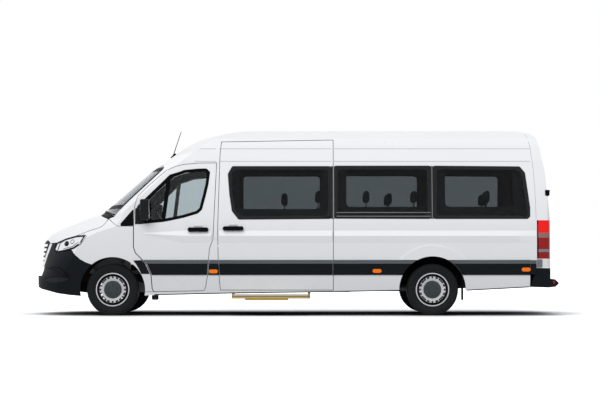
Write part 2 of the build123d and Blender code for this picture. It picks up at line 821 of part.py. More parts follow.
def hub_cap(axle_x, side):
    """The cap that covers the hub and the bolts: a low rim and a dished crown."""
    seat_y = side * (wheel_y + disc_face + seat_gap)
    rim_y = seat_y + side * cap_rim
    with BuildPart() as cap:
        with BuildSketch(Plane.XZ.offset(-seat_y)):
            with Locations((axle_x, axle_z)):
                Circle(cap_radius)
        extrude(amount=-side * cap_rim)
        for level_y, radius in ((rim_y, cap_radius), (rim_y + side * cap_dome, cap_crown_radius)):
            with BuildSketch(Plane.XZ.offset(-level_y)):
                with Locations((axle_x, axle_z)):
                    Circle(radius)
        loft()
    return cap.part


def vent_slots(axle_x, side):
    """The ring of vents through the wheel disc."""
    with BuildPart() as slots:
        with BuildSketch(Plane.XZ.offset(-side * (wheel_y + disc_face + 40))):
            with Locations((axle_x, axle_z)):
                with PolarLocations(slot_ring, slot_count):
                    Rectangle(slot_radial, slot_across)
        extrude(amount=side * 70)
    return slots.part


for axle_x, place in ((front_axle_x, "front"), (rear_axle_x, "rear")):
    for side, name in ((-1, "left"), (1, "right")):
        save(turned(tyre_profile, axle_x, side), f"tyre_{place}_{name}")
        with BuildPart() as rim:
            add(turned(rim_profile, axle_x, side))
            add(vent_slots(axle_x, side), mode=Mode.SUBTRACT)
            add(hub_cap(axle_x, side))
        save(rim.part, f"rim_{place}_{name}")

# ---------------------------------------------------------------- inside the cab and the saloon
with BuildPart() as dashboard:
    with BuildSketch(Plane.XZ):
        Polygon(*from_nose(dashboard_outline), align=None)
    extrude(amount=dashboard_half, both=True)
    add(cabin_form, mode=Mode.INTERSECT)
save(dashboard.part, "dashboard")

wheel_lean = 35
wheel_plane = Plane(
    origin=(nose_x + 1710, 420, 1265), z_dir=(-cos(radians(wheel_lean)), 0, -sin(radians(wheel_lean))),
)
with BuildPart() as steering_wheel:
    with BuildSketch(wheel_plane):
        Circle(200)
        Circle(176, mode=Mode.SUBTRACT)
    extrude(amount=12, both=True)
    with BuildSketch(wheel_plane):
        Rectangle(360, 34)
        Circle(45)
    extrude(amount=9, both=True)
    with BuildSketch(wheel_plane):
        Circle(25)
    extrude(amount=250)
    add(side_prism(from_nose(dashboard_outline), grow=seat_gap), mode=Mode.SUBTRACT)
save(steering_wheel.part, "steering_wheel")

seat_side = (
    # back from the seat's front edge, height above the seat's base
    (0, 0), (0, 120), (430, 90), (520, 560), (500, 600), (525, 780), (600, 780), (610, 560), (520, 0),
)


def seat_block(front_x, base, centre_y, width):
    """A cushion, back and headrest in one closed form."""
    with BuildPart() as seat:
        with BuildSketch(Plane.XZ.offset(-centre_y)):
            Polygon(*((front_x + back, base + height) for back, height in seat_side), align=None)
        extrude(amount=width / 2, both=True)
    return seat.part


cab_seat_back = 1850
cab_seat_base = 900
cab_seats = (
    # across, width
    (420, 480), (-620, seat_width), (-160, seat_width),
)
seat_base = floor_height + 330
kerb_y, pair_y = -600, (600, 150)
kerb_rows = (3335, 3990, 4645, 5640)
pair_rows = (2861, 3601, 4341, 5081, 5705)
saloon_places = [(row, kerb_y) for row in kerb_rows]
saloon_places += [(row, across) for row in pair_rows for across in pair_y]
with BuildPart() as front_seats:
    for across, width in cab_seats:
        add(seat_block(nose_x + cab_seat_back, cab_seat_base, across, width))
save(front_seats.part, "front_seats")
with BuildPart() as saloon_seats:
    for row, across in saloon_places:
        add(seat_block(nose_x + row, seat_base, across, seat_width))
save(saloon_seats.part, "saloon_seats")

with BuildPart() as seat_frames:
    for row, across in saloon_places:
        near, far = max(across - 150, 10 - wheelhouse_y), min(across + 150, wheelhouse_y - 10)
        span_box((nose_x + row + 60, nose_x + row + 460), (near, far),
                 (floor_height + seat_gap, seat_base - seat_gap))
    for across, width in cab_seats:
        span_box((nose_x + cab_seat_back + 50, nose_x + cab_seat_back + 450),
                 (across - width / 2 + 40, across + width / 2 - 40),
                 (floor_height + seat_gap, cab_seat_base - seat_gap))
save(seat_frames.part, "seat_frames")

# ---------------------------------------------------------------- small outside pieces
step_span = (nose_x + 2750, nose_x + 3750)
bracket_width = 30
with BuildPart() as side_step:
    span_box(step_span, (-1085, -925), (229, 291))
    for bracket in (step_span[0] - bracket_width, step_span[1]):
        span_box((bracket, bracket + bracket_width), (-1060, -700), (229, 290))
        span_box((bracket, bracket + bracket_width), (-900, -390), (290, 330))
save(side_step.part, "side_step")

antenna_base = ((1821, 2174), (1903, 2233), (1878, 2258), (1815, 2200))
antenna_whip = ((1845, 2225), (1859, 2230), (1966, 2558), (1959, 2560))
with BuildPart() as antenna:
    for outline, half in ((antenna_base, 16), (antenna_whip, 4)):
        with BuildSketch(Plane.XZ):
            Polygon(*from_nose(outline), align=None)
        extrude(amount=half, both=True)
save(antenna.part, "antenna")

wiper_outline = ((905, 1428), (1110, 1358), (1118, 1372), (913, 1444))
with BuildPart() as wipers:
    add(outlined(trim_shell.part, from_nose(wiper_outline)))
    span_box(body_span, (100, 112), (0, gutter_height), Mode.SUBTRACT)
save(wipers.part, "wipers")
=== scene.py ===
# %% [markdown]
# A high-roof minibus, dressed for a pale studio.
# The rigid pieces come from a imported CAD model, which is a fixed frame: its panels, glass, wheels and doors stand at
# their real places in metres, with the nose towards -X, the kerb side towards -Y and Z up from the ground.
# This script gives each of them its finish and adds what CAD leaves out: tread, seams, lamps, seats and trim.

# %% Load the frame
import json
import math

import bpy
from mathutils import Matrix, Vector
from mathutils.bvhtree import BVHTree

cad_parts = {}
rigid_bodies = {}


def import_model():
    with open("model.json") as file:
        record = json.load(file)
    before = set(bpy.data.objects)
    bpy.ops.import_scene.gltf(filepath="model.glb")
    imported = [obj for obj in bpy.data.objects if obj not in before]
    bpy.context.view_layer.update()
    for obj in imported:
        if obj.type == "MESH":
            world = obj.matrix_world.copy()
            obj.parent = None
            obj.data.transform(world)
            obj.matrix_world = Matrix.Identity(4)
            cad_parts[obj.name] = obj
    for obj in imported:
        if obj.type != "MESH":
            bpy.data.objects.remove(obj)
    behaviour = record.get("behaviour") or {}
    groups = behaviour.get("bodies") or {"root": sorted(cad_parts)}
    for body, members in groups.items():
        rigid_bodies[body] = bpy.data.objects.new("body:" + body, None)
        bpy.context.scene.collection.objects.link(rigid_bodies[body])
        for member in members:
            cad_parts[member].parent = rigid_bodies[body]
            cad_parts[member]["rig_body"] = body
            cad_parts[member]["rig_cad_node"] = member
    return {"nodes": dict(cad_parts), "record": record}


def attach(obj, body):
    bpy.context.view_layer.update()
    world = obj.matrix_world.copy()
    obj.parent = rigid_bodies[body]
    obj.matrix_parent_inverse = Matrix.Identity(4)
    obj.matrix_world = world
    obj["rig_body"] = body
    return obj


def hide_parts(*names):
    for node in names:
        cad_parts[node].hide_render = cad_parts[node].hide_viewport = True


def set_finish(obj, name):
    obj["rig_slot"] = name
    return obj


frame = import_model()
nodes = frame["nodes"]
scene = bpy.context.scene
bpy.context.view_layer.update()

# %% [markdown]
# Blender's operators act on whatever is selected, so each step starts by selecting one piece alone.
# A finished piece keeps its place in its mesh and its object stays at the origin, so its place is applied at once.
# The same few moves come back at every piece. They could be written out each time, but as helpers they read like the
# clicks that they stand for.

# %% Helpers that stand in for the hand on the mouse
NEAR, FAR = -1, 1
SIDES = ((NEAR, "left"), (FAR, "right"))


def activate(*pieces):
    """Selects these objects alone and makes the first one active."""
    if bpy.context.object and bpy.context.object.mode == "EDIT":
        bpy.ops.object.mode_set(mode="OBJECT")
    bpy.ops.object.select_all(action="DESELECT")
    for piece in pieces:
        piece.select_set(True)
    bpy.context.view_layer.objects.active = pieces[0]


def settle(piece, name):
    """Names a new piece and applies its place, so that its object sits at the origin."""
    piece.name = name
    activate(piece)
    bpy.ops.object.transform_apply(location=True, rotation=True, scale=True)
    return piece


def modify(piece, kind, **settings):
    """Adds a modifier, sets it and applies it."""
    activate(piece)
    modifier = piece.modifiers.new(kind.title(), kind)
    for key, value in settings.items():
        setattr(modifier, key, value)
    bpy.ops.object.modifier_apply(modifier=modifier.name)
    return piece


def pick_faces(piece, wanted):
    """Opens edit mode with the faces selected that pass wanted(centre, normal)."""
    activate(piece)
    bpy.ops.object.mode_set(mode="EDIT")
    bpy.ops.mesh.select_mode(type="FACE")
    bpy.ops.mesh.select_all(action="DESELECT")
    bpy.ops.object.mode_set(mode="OBJECT")
    for face in piece.data.polygons:
        face.select = bool(wanted(face.center, face.normal))
    bpy.ops.object.mode_set(mode="EDIT")


def close_edit():
    """Goes back to object mode, which writes the edited mesh."""
    bpy.ops.object.mode_set(mode="OBJECT")


def smooth(piece, degrees=30):
    """Smooths the shading, but leaves edges sharp that are steeper than this angle."""
    activate(piece)
    bpy.ops.object.shade_smooth_by_angle(angle=math.radians(degrees))
    return piece


def outward(piece):
    """Turns the faces of a closed shape outwards."""
    activate(piece)
    bpy.ops.object.mode_set(mode="EDIT")
    bpy.ops.mesh.select_all(action="SELECT")
    bpy.ops.mesh.normals_make_consistent(inside=False)
    close_edit()
    return piece


print("sides:", [label for _, label in SIDES])

# %% [markdown]
# Every finish is procedural. An image would need a camera, a flat unwrap and a size, while noise in object space fits
# any panel at any distance. What several finishes share is a node group with named inputs, built once.
# The groups read Object coordinates, which are metres here, because every object sits at the origin.

# %% Helpers for nodes


def new_group(name, inputs, outputs):
    """A node group with these (name, socket type, default) inputs and (name, socket type) outputs."""
    group = bpy.data.node_groups.new(name, "ShaderNodeTree")
    for label, kind, value in inputs:
        socket = group.interface.new_socket(name=label, in_out="INPUT", socket_type=kind)
        socket.default_value = value
    for label, kind in outputs:
        group.interface.new_socket(name=label, in_out="OUTPUT", socket_type=kind)
    return group, group.nodes.new("NodeGroupInput"), group.nodes.new("NodeGroupOutput")


def add_node(tree, kind, **settings):
    """A node with its properties, or its input sockets where the name has a capital, set."""
    node = tree.nodes.new(kind)
    for key, value in settings.items():
        if key[0].isupper():
            node.inputs[key.replace("_", " ")].default_value = value
        else:
            setattr(node, key, value)
    return node


def math_node(tree, operation, first, second=None):
    """A Math node between two sockets or numbers, and its result."""
    node = add_node(tree, "ShaderNodeMath", operation=operation)
    for index, value in enumerate((first, second)):
        if value is None:
            continue
        if hasattr(value, "is_linked"):
            tree.links.new(value, node.inputs[index])
        else:
            node.inputs[index].default_value = value
    return node.outputs[0]


def mix_colour(tree, factor, first, second):
    """A colour mix whose three inputs are sockets or plain values."""
    node = add_node(tree, "ShaderNodeMix", data_type="RGBA")
    for index, value in ((0, factor), (6, first), (7, second)):
        if hasattr(value, "is_linked"):
            tree.links.new(value, node.inputs[index])
        else:
            node.inputs[index].default_value = value
    return node.outputs[2]


FLOAT, COLOUR = "NodeSocketFloat", "NodeSocketColor"
print("node helpers ready")

# %% [markdown]
# A large painted panel is never one flat tone. A slow noise drifts between two close colours, and its mask is passed
# on, so that the gloss can drift with it.

# %% Panel tone
tone_group, put_in, put_out = new_group(
    "PanelTone",
    (("Base", COLOUR, (0.8, 0.8, 0.8, 1)), ("Shade", COLOUR, (0.7, 0.7, 0.7, 1)), ("Amount", FLOAT, 0.3),
     ("Scale", FLOAT, 1.5)),
    (("Colour", COLOUR), ("Mask", FLOAT)),
)
place = add_node(tone_group, "ShaderNodeTexCoord")
cloud = add_node(tone_group, "ShaderNodeTexNoise", Detail=5.0, Roughness=0.55)
tone_group.links.new(place.outputs["Object"], cloud.inputs["Vector"])
tone_group.links.new(put_in.outputs["Scale"], cloud.inputs["Scale"])
ramp = add_node(tone_group, "ShaderNodeMapRange", From_Min=0.35, From_Max=0.7)
tone_group.links.new(cloud.outputs[0], ramp.inputs["Value"])
share = math_node(tone_group, "MULTIPLY", ramp.outputs[0], put_in.outputs["Amount"])
tone_group.links.new(mix_colour(tone_group, share, put_in.outputs["Base"], put_in.outputs["Shade"]),
                     put_out.inputs["Colour"])
tone_group.links.new(ramp.outputs[0], put_out.inputs["Mask"])
print("group:", tone_group.name)

# %% [markdown]
# Moulded plastic has a fine leather-like grain. Displacing the mesh would take millions of faces, so cells and a
# coarser noise give a height, which a Bump node in the material turns into a changed normal.

# %% Moulded grain
grain_group, put_in, put_out = new_group(
    "MouldedGrain",
    (("Scale", FLOAT, 400.0), ("Coarse", FLOAT, 0.3)),
    (("Height", FLOAT),),
)
place = add_node(grain_group, "ShaderNodeTexCoord")
pits = add_node(grain_group, "ShaderNodeTexVoronoi", feature="SMOOTH_F1")
waves = add_node(grain_group, "ShaderNodeTexNoise", Detail=3.0)
for texture in (pits, waves):
    grain_group.links.new(place.outputs["Object"], texture.inputs["Vector"])
grain_group.links.new(put_in.outputs["Scale"], pits.inputs["Scale"])
grain_group.links.new(math_node(grain_group, "MULTIPLY", put_in.outputs["Scale"], 0.12), waves.inputs["Scale"])
coarse = math_node(grain_group, "MULTIPLY", waves.outputs[0], put_in.outputs["Coarse"])
grain_group.links.new(math_node(grain_group, "ADD", pits.outputs["Distance"], coarse), put_out.inputs["Height"])
print("group:", grain_group.name)

# %% [markdown]
# Road dust lies thickest at the sills and fades upwards. The film follows the height above the ground, broken up by
# noise, so it needs no painting by hand and meets evenly across the gaps between panels. On the white body paint the
# same film is painted shade: a grey that darkens the flanks towards the bottom.

# %% Road dust and painted shade
dust_and_shade_group, put_in, put_out = new_group(
    "RoadDustAndShade",
    (("Clean", COLOUR, (0.8, 0.8, 0.8, 1)), ("Film", COLOUR, (0.32, 0.3, 0.27, 1)), ("Amount", FLOAT, 0.2),
     ("Height", FLOAT, 0.9), ("Streaks", FLOAT, 1.0)),
    (("Colour", COLOUR), ("Mask", FLOAT)),
)
place = add_node(dust_and_shade_group, "ShaderNodeTexCoord")
split = add_node(dust_and_shade_group, "ShaderNodeSeparateXYZ")
dust_and_shade_group.links.new(place.outputs["Object"], split.inputs[0])
fade = add_node(dust_and_shade_group, "ShaderNodeMapRange", From_Min=0.0, To_Min=1.0, To_Max=0.0)
dust_and_shade_group.links.new(split.outputs["Z"], fade.inputs["Value"])
dust_and_shade_group.links.new(put_in.outputs["Height"], fade.inputs["From Max"])
streaks = add_node(dust_and_shade_group, "ShaderNodeTexNoise", Scale=6.0, Detail=6.0)
dust_and_shade_group.links.new(place.outputs["Object"], streaks.inputs["Vector"])
uneven = math_node(dust_and_shade_group, "MULTIPLY", math_node(dust_and_shade_group, "SUBTRACT", streaks.outputs[0], 0.5),
                   put_in.outputs["Streaks"])
film = math_node(dust_and_shade_group, "MULTIPLY", fade.outputs[0], math_node(dust_and_shade_group, "ADD", uneven, 0.5))
film = math_node(dust_and_shade_group, "MULTIPLY", film, put_in.outputs["Amount"])
dust_and_shade_group.links.new(mix_colour(dust_and_shade_group, film, put_in.outputs["Clean"], put_in.outputs["Film"]),
                     put_out.inputs["Colour"])
dust_and_shade_group.links.new(film, put_out.inputs["Mask"])
print("group:", dust_and_shade_group.name)

# %% [markdown]
# Seat cloth shows crossing threads. Two wave textures, one along X and one along Z, are joined by their higher value,
# which is how one thread passes over another.

# %% Weave
weave_group, put_in, put_out = new_group(
    "Weave",
    (("Threads", FLOAT, 350.0),),
    (("Height", FLOAT),),
)
place = add_node(weave_group, "ShaderNodeTexCoord")
thread_heights = []
for direction in ("X", "Z"):
    threads = add_node(weave_group, "ShaderNodeTexWave", bands_direction=direction, Distortion=0.6, Detail=1.0)
    weave_group.links.new(place.outputs["Object"], threads.inputs["Vector"])
    weave_group.links.new(put_in.outputs["Threads"], threads.inputs["Scale"])
    thread_heights.append(threads.outputs["Fac"])
weave_group.links.new(math_node(weave_group, "MAXIMUM", *thread_heights), put_out.inputs["Height"])
print("node groups:", [group.name for group in bpy.data.node_groups])

# %% [markdown]
# One recipe makes most finishes: a base colour that drifts in tone, a film low down, which is road dust on most
# finishes and painted shade on the white body paint, and a grain that bumps the surface and breaks up its gloss. What
# is the same all over a surface, such as its coat, is set directly, because an exported model keeps such a number only
# when nothing feeds it.

# %% The recipe for a finish
DUST = (0.30, 0.28, 0.25, 1)


def finish_of(name, base, rough, shade=None, drift=0.5, drift_scale=1.5, film=0.0, film_top=0.9, grain=0.0,
              grain_scale=400.0, metal=0.0, film_tint=DUST, streaks=1.0, coat=0.0, coat_rough=0.04, gloss_spread=0.06,
              **constants):
    """A Principled material from the shared groups."""
    material = bpy.data.materials.new(name)
    material.use_nodes = True
    tree = material.node_tree
    shader = tree.nodes["Principled BSDF"]
    shader.inputs["Metallic"].default_value = metal
    shader.inputs["Coat Weight"].default_value = coat
    shader.inputs["Coat Roughness"].default_value = coat_rough
    for key, value in constants.items():
        shader.inputs[key.replace("_", " ")].default_value = value
    base = (*base, 1)
    shade = (*shade, 1) if shade else tuple(channel * 0.86 for channel in base[:3]) + (1,)
    tone = add_node(tree, "ShaderNodeGroup", node_tree=tone_group, Base=base, Shade=shade, Amount=drift,
                    Scale=drift_scale)
    colour = tone.outputs["Colour"]
    if film:
        dust_and_shade_film = add_node(tree, "ShaderNodeGroup", node_tree=dust_and_shade_group, Film=film_tint, Amount=film, Height=film_top,
                         Streaks=streaks)
        tree.links.new(colour, dust_and_shade_film.inputs["Clean"])
        colour = dust_and_shade_film.outputs["Colour"]
    tree.links.new(colour, shader.inputs["Base Color"])
    gloss = add_node(tree, "ShaderNodeMapRange", To_Min=max(rough - gloss_spread, 0.0), To_Max=rough + gloss_spread)
    tree.links.new(tone.outputs["Mask"], gloss.inputs["Value"])
    tree.links.new(gloss.outputs[0], shader.inputs["Roughness"])
    if grain:
        surface = add_node(tree, "ShaderNodeGroup", node_tree=grain_group, Scale=grain_scale)
        bump = add_node(tree, "ShaderNodeBump", Strength=0.5, Distance=grain)
        tree.links.new(surface.outputs["Height"], bump.inputs["Height"])
        tree.links.new(bump.outputs[0], shader.inputs["Normal"])
    return material


print("recipe ready")

# %% [markdown]
# The paint is a plain white with a clear coat. It could be one material, but the roof looks at the sky and the crease
# above the belt catches the light, so each has its own white: the roof's is darker, painted shade, and the crease's is
# lighter, a painted highlight. The lower flanks carry a thin grey film, painted shade that darkens them towards the
# bottom.

# %% Body paint
# The film on the white paint is painted shade: a grey that darkens the flanks towards the bottom.
body_white = finish_of("body_white", (0.86, 0.865, 0.875), 0.32, shade=(0.845, 0.85, 0.862), drift=0.6,
                       drift_scale=0.8, film=1.0, film_top=1.9, streaks=0.15, film_tint=(0.42, 0.44, 0.47, 1),
                       grain=0.00006, grain_scale=90.0, coat=0.35)
# A darker white for the roof's top, painted shade.
roof_painted_shade = finish_of("roof_painted_shade", (0.79, 0.795, 0.805), 0.36, shade=(0.76, 0.765, 0.775), drift=0.6,
                       drift_scale=0.8, grain=0.00006, grain_scale=90.0, coat=0.3)
# A lighter white for the swage's upper slope, a painted highlight.
swage_painted_highlight = finish_of("swage_painted_highlight", (0.90, 0.905, 0.915), 0.32, shade=(0.88, 0.885, 0.90), drift=0.5,
                        drift_scale=0.8, grain=0.00006, grain_scale=90.0, coat=0.35)
crease_grey = finish_of("crease_grey", (0.40, 0.41, 0.43), 0.5, drift_scale=3.0)
print("paints:", len(bpy.data.materials))

# %% [markdown]
# Bumpers, bands, window frames and linings are dark plastics that differ in grain and gloss more than in colour.
# Their specular level is kept low, because a pale studio would wash a plain black out to grey.

# %% Dark plastics and linings
inner_grey = finish_of("inner_grey", (0.060, 0.066, 0.072), 0.7, grain=0.0003, grain_scale=500.0,
                       Specular_IOR_Level=0.15)
lining_grey = finish_of("lining_grey", (0.016, 0.018, 0.021), 0.8, grain=0.0003, grain_scale=500.0,
                        Specular_IOR_Level=0.15)
frame_black = finish_of("frame_black", (0.0025, 0.0028, 0.0032), 0.5, drift_scale=6.0, grain=0.0002,
                        grain_scale=800.0, Specular_IOR_Level=0.05)
trim_black = finish_of("trim_black", (0.006, 0.0065, 0.0075), 0.42, film=0.01, grain=0.0002, grain_scale=800.0,
                       Specular_IOR_Level=0.15)
gloss_black = finish_of("gloss_black", (0.004, 0.005, 0.0065), 0.16, drift=0.3, gloss_spread=0.03,
                        Specular_IOR_Level=0.25)
band_grey = finish_of("band_grey", (0.018, 0.022, 0.025), 0.6, shade=(0.013, 0.016, 0.018), grain=0.0003,
                      grain_scale=700.0, Specular_IOR_Level=0.1)
bumper_grey = finish_of("bumper_grey", (0.0060, 0.0080, 0.0098), 0.55, shade=(0.0048, 0.0064, 0.0080), film=0.01,
                        grain=0.0003, grain_scale=700.0, Specular_IOR_Level=0.08)
# A lighter grey for the band's upper strip, a painted highlight.
band_painted_highlight = finish_of("band_painted_highlight", (0.098, 0.112, 0.122), 0.6, shade=(0.080, 0.094, 0.102), film=0.01,
                         grain=0.0003, grain_scale=700.0, Specular_IOR_Level=0.2)
cap_grey = finish_of("cap_grey", (0.019, 0.024, 0.0255), 0.5, grain=0.0002, grain_scale=700.0, drift_scale=8.0)
dash_grey = finish_of("dash_grey", (0.035, 0.036, 0.040), 0.6, grain=0.0004, grain_scale=500.0)
floor_vinyl = finish_of("floor_vinyl", (0.10, 0.105, 0.11), 0.55, grain=0.0004, grain_scale=300.0)
print("materials:", len(bpy.data.materials))

# %% [markdown]
# Under the floor and in the arches everything is dull. Rubber and underseal are almost black, and they take a little
# dust, which is what tells them from a hole.

# %% Rubber and underseal
tyre_black = finish_of("tyre_black", (0.008, 0.0095, 0.0105), 0.6, shade=(0.012, 0.0125, 0.013), film=0.03,
                       film_top=0.5, drift_scale=9.0, grain=0.0004, grain_scale=300.0, Specular_IOR_Level=0.1)
liner_black = finish_of("liner_black", (0.0035, 0.0035, 0.004), 0.95, film=0.03, grain=0.0006, grain_scale=260.0,
                        Specular_IOR_Level=0.08)
under_black = finish_of("under_black", (0.007, 0.007, 0.008), 0.8, film=0.12, film_top=0.8, grain=0.0008,
                        grain_scale=150.0, Specular_IOR_Level=0.15)
print("materials:", len(bpy.data.materials))

# %% [markdown]
# Bare and painted metals come next: castings and pipes are rough, the wheels are silver paint over steel, and the
# mirrors are almost perfect. The step, the rails and the plates are painted, so they aren't metallic.

# %% Metals and painted fittings
cast_grey = finish_of("cast_grey", (0.20, 0.20, 0.21), 0.55, film=0.3, grain=0.0008, grain_scale=220.0, metal=0.8)
pipe_steel = finish_of("pipe_steel", (0.30, 0.27, 0.24), 0.45, shade=(0.20, 0.15, 0.11), film=0.2, metal=0.9,
                       drift_scale=5.0, grain=0.0002)
silver_paint = finish_of("silver_paint", (0.56, 0.57, 0.59), 0.34, film=0.08, metal=0.75, grain=0.0001,
                         grain_scale=900.0, drift_scale=6.0)
bright_silver = finish_of("bright_silver", (0.72, 0.74, 0.78), 0.22, metal=0.9, drift_scale=4.0)
mirror_silver = finish_of("mirror_silver", (0.85, 0.86, 0.88), 0.03, metal=1.0, drift=0.05, gloss_spread=0.01)
rail_grey = finish_of("rail_grey", (0.17, 0.17, 0.18), 0.45, drift_scale=3.0, Specular_IOR_Level=0.3)
step_cream = finish_of("step_cream", (0.62, 0.58, 0.47), 0.45, drift_scale=5.0, grain=0.0004, grain_scale=350.0)
step_gold = finish_of("step_gold", (0.55, 0.36, 0.08), 0.42, shade=(0.38, 0.27, 0.07), drift_scale=7.0,
                      grain=0.0003, grain_scale=300.0)
plate_white = finish_of("plate_white", (0.78, 0.78, 0.76), 0.4, drift_scale=6.0, grain=0.0001)
print("materials:", len(bpy.data.materials))

# %% [markdown]
# A lamp lens is coloured plastic with fine optic ribs. Real transmission would need a reflector behind each lens, so a
# strong base colour under a thin gloss coat is used, which stays bright from every side. The ribs are a wave texture.

# %% Lamp lenses


def lens_of(name, base, rough=0.06, ribs=0.0, ribs_scale=120.0, coat=0.2, **constants):
    """A lamp lens: coloured plastic with a gloss coat, and fine optic ribs under it."""
    material = finish_of(name, base, rough, drift=0.35, drift_scale=12.0, coat=coat, gloss_spread=0.02, **constants)
    if ribs:
        tree = material.node_tree
        shader = tree.nodes["Principled BSDF"]
        place = add_node(tree, "ShaderNodeTexCoord")
        wave = add_node(tree, "ShaderNodeTexWave", Scale=ribs_scale, bands_direction="X")
        bump = add_node(tree, "ShaderNodeBump", Strength=0.4, Distance=ribs)
        tree.links.new(place.outputs["Object"], wave.inputs["Vector"])
        tree.links.new(wave.outputs["Fac"], bump.inputs["Height"])
        tree.links.new(bump.outputs[0], shader.inputs["Normal"])
    return material


lens_orange = lens_of("lens_orange", (0.98, 0.20, 0.004), ribs=0.0008, ribs_scale=60.0, Specular_IOR_Level=0.1)
lens_red = lens_of("lens_red", (0.95, 0.004, 0.003), ribs=0.0006, Specular_IOR_Level=0.12)
lens_dark_red = lens_of("lens_dark_red", (0.30, 0.004, 0.004), ribs=0.0006, Specular_IOR_Level=0.12)
lens_smoke = lens_of("lens_smoke", (0.30, 0.14, 0.14), Specular_IOR_Level=0.15)
lens_grey = lens_of("lens_grey", (0.22, 0.215, 0.23), ribs=0.0005, Specular_IOR_Level=0.15)
lens_white = lens_of("lens_white", (0.75, 0.77, 0.80), ribs=0.0005)
print("materials:", len(bpy.data.materials))

# %% [markdown]
# The seats are covered in a dark blue-grey cloth. It takes the common recipe without grain, and the weave's height is
# bumped in its place.

# %% Seat cloth
seat_fabric = finish_of("seat_fabric", (0.045, 0.055, 0.085), 0.85, shade=(0.025, 0.03, 0.05), drift_scale=9.0,
                        Specular_IOR_Level=0.15)
tree = seat_fabric.node_tree
threads = add_node(tree, "ShaderNodeGroup", node_tree=weave_group, Threads=160.0)
bump = add_node(tree, "ShaderNodeBump", Strength=0.6, Distance=0.0008)
tree.links.new(threads.outputs["Height"], bump.inputs["Height"])
tree.links.new(bump.outputs[0], tree.nodes["Principled BSDF"].inputs["Normal"])
print("materials:", len(bpy.data.materials))

# %% [markdown]
# Glass lets light through, so it needs Transmission. A plain glass shader also mirrors the white studio, which would
# turn dark privacy glass grey, so its specular level is kept low. Its tint is its base colour, which drifts a little.

# %% Glass


def glass_of(name, tint, level, rough=0.015, ior=1.3):
    """A tinted pane: full transmission, with as much mirror in it as the level says."""
    material = finish_of(name, tint, rough, drift=0.3, drift_scale=0.9, gloss_spread=0.008)
    shader = material.node_tree.nodes["Principled BSDF"]
    shader.inputs["Transmission Weight"].default_value = 1.0
    shader.inputs["IOR"].default_value = ior
    shader.inputs["Specular IOR Level"].default_value = level
    return material


cab_glass = glass_of("cab_glass", (0.62, 0.68, 0.70), 0.35)
screen_glass = glass_of("screen_glass", (0.38, 0.43, 0.48), 0.4)
privacy_glass = glass_of("privacy_glass", (0.25, 0.275, 0.29), 0.1, ior=1.2)
print("glass tints ready")

# %% [markdown]
# The stage is a wide pale floor. A modelled backdrop would show its edges when the camera walks round, so the floor
# runs on to the horizon. It lights the object softly, and where the camera looks at it straight it is nearly white.
# The contact shadow comes from how much of the sky each spot of floor can see.

# %% The floor
FLOOR_SIZE = 400
FLOOR_BOUNCE = 0.45
FLOOR_SEEN = 1.7
SHADOW_REACH = 1.1
SHADOW_DEPTH = 2.0

bpy.ops.object.select_all(action="DESELECT")
bpy.ops.mesh.primitive_plane_add(size=FLOOR_SIZE, location=(0, 0, -0.0005))
studio_floor = settle(bpy.context.object, "studio_floor")
floor_white = bpy.data.materials.new("floor_white")
floor_white.use_nodes = True
tree = floor_white.node_tree
tree.nodes.clear()
rays = add_node(tree, "ShaderNodeLightPath")
mirrored = math_node(tree, "MAXIMUM", rays.outputs["Is Glossy Ray"], rays.outputs["Is Transmission Ray"])
level = math_node(tree, "ADD", math_node(tree, "MULTIPLY", mirrored, 1 - FLOOR_BOUNCE), FLOOR_BOUNCE)
corner = add_node(tree, "ShaderNodeAmbientOcclusion", samples=8, Distance=SHADOW_REACH)
seen_level = math_node(tree, "MULTIPLY", math_node(tree, "POWER", corner.outputs["AO"], SHADOW_DEPTH), FLOOR_SEEN)
choice = add_node(tree, "ShaderNodeMix", data_type="FLOAT")
tree.links.new(rays.outputs["Is Camera Ray"], choice.inputs[0])
tree.links.new(level, choice.inputs[2])
tree.links.new(seen_level, choice.inputs[3])
matt = add_node(tree, "ShaderNodeBsdfDiffuse")
tree.links.new(choice.outputs[0], matt.inputs["Color"])
tree.links.new(matt.outputs[0], add_node(tree, "ShaderNodeOutputMaterial").inputs["Surface"])
studio_floor.data.materials.append(floor_white)
print("floor:", FLOOR_SIZE, "m")

# %% [markdown]
# The world is white where the camera, a reflection or a pane of glass looks at it, and softer where it lights the
# object. One strength for both would either grey the background or burn out the white paint.

# %% The world
WORLD_LIGHT = 0.62

world = bpy.data.worlds.new("studio")
scene.world = world
world.use_nodes = True
tree = world.node_tree
tree.nodes.clear()
rays = add_node(tree, "ShaderNodeLightPath")
seen = math_node(tree, "MAXIMUM", rays.outputs["Is Camera Ray"], rays.outputs["Is Glossy Ray"])
seen = math_node(tree, "MAXIMUM", seen, rays.outputs["Is Transmission Ray"])
soft_light = add_node(tree, "ShaderNodeBackground", Color=(0.95, 0.97, 1.0, 1), Strength=WORLD_LIGHT)
white_wall = add_node(tree, "ShaderNodeBackground", Color=(1, 1, 1, 1), Strength=1.0)
either = add_node(tree, "ShaderNodeMixShader")
output = add_node(tree, "ShaderNodeOutputWorld")
tree.links.new(seen, either.inputs[0])
tree.links.new(soft_light.outputs[0], either.inputs[1])
tree.links.new(white_wall.outputs[0], either.inputs[2])
tree.links.new(either.outputs[0], output.inputs["Surface"])
print("world strength:", WORLD_LIGHT)

# %% [markdown]
# A wide sun models the flanks. An area lamp would do for one side alone, while a sun is as strong at the tail as at
# the nose. It is kept out of reflections, so that it puts no hard spot on the roof. The camera is long and far away,
# which keeps the side view almost flat.

# %% Sun and camera
SUN_POWER = 1.76
SUN_SPREAD = math.radians(50)
SUN_TURN = (math.radians(51), 0, math.radians(-20))

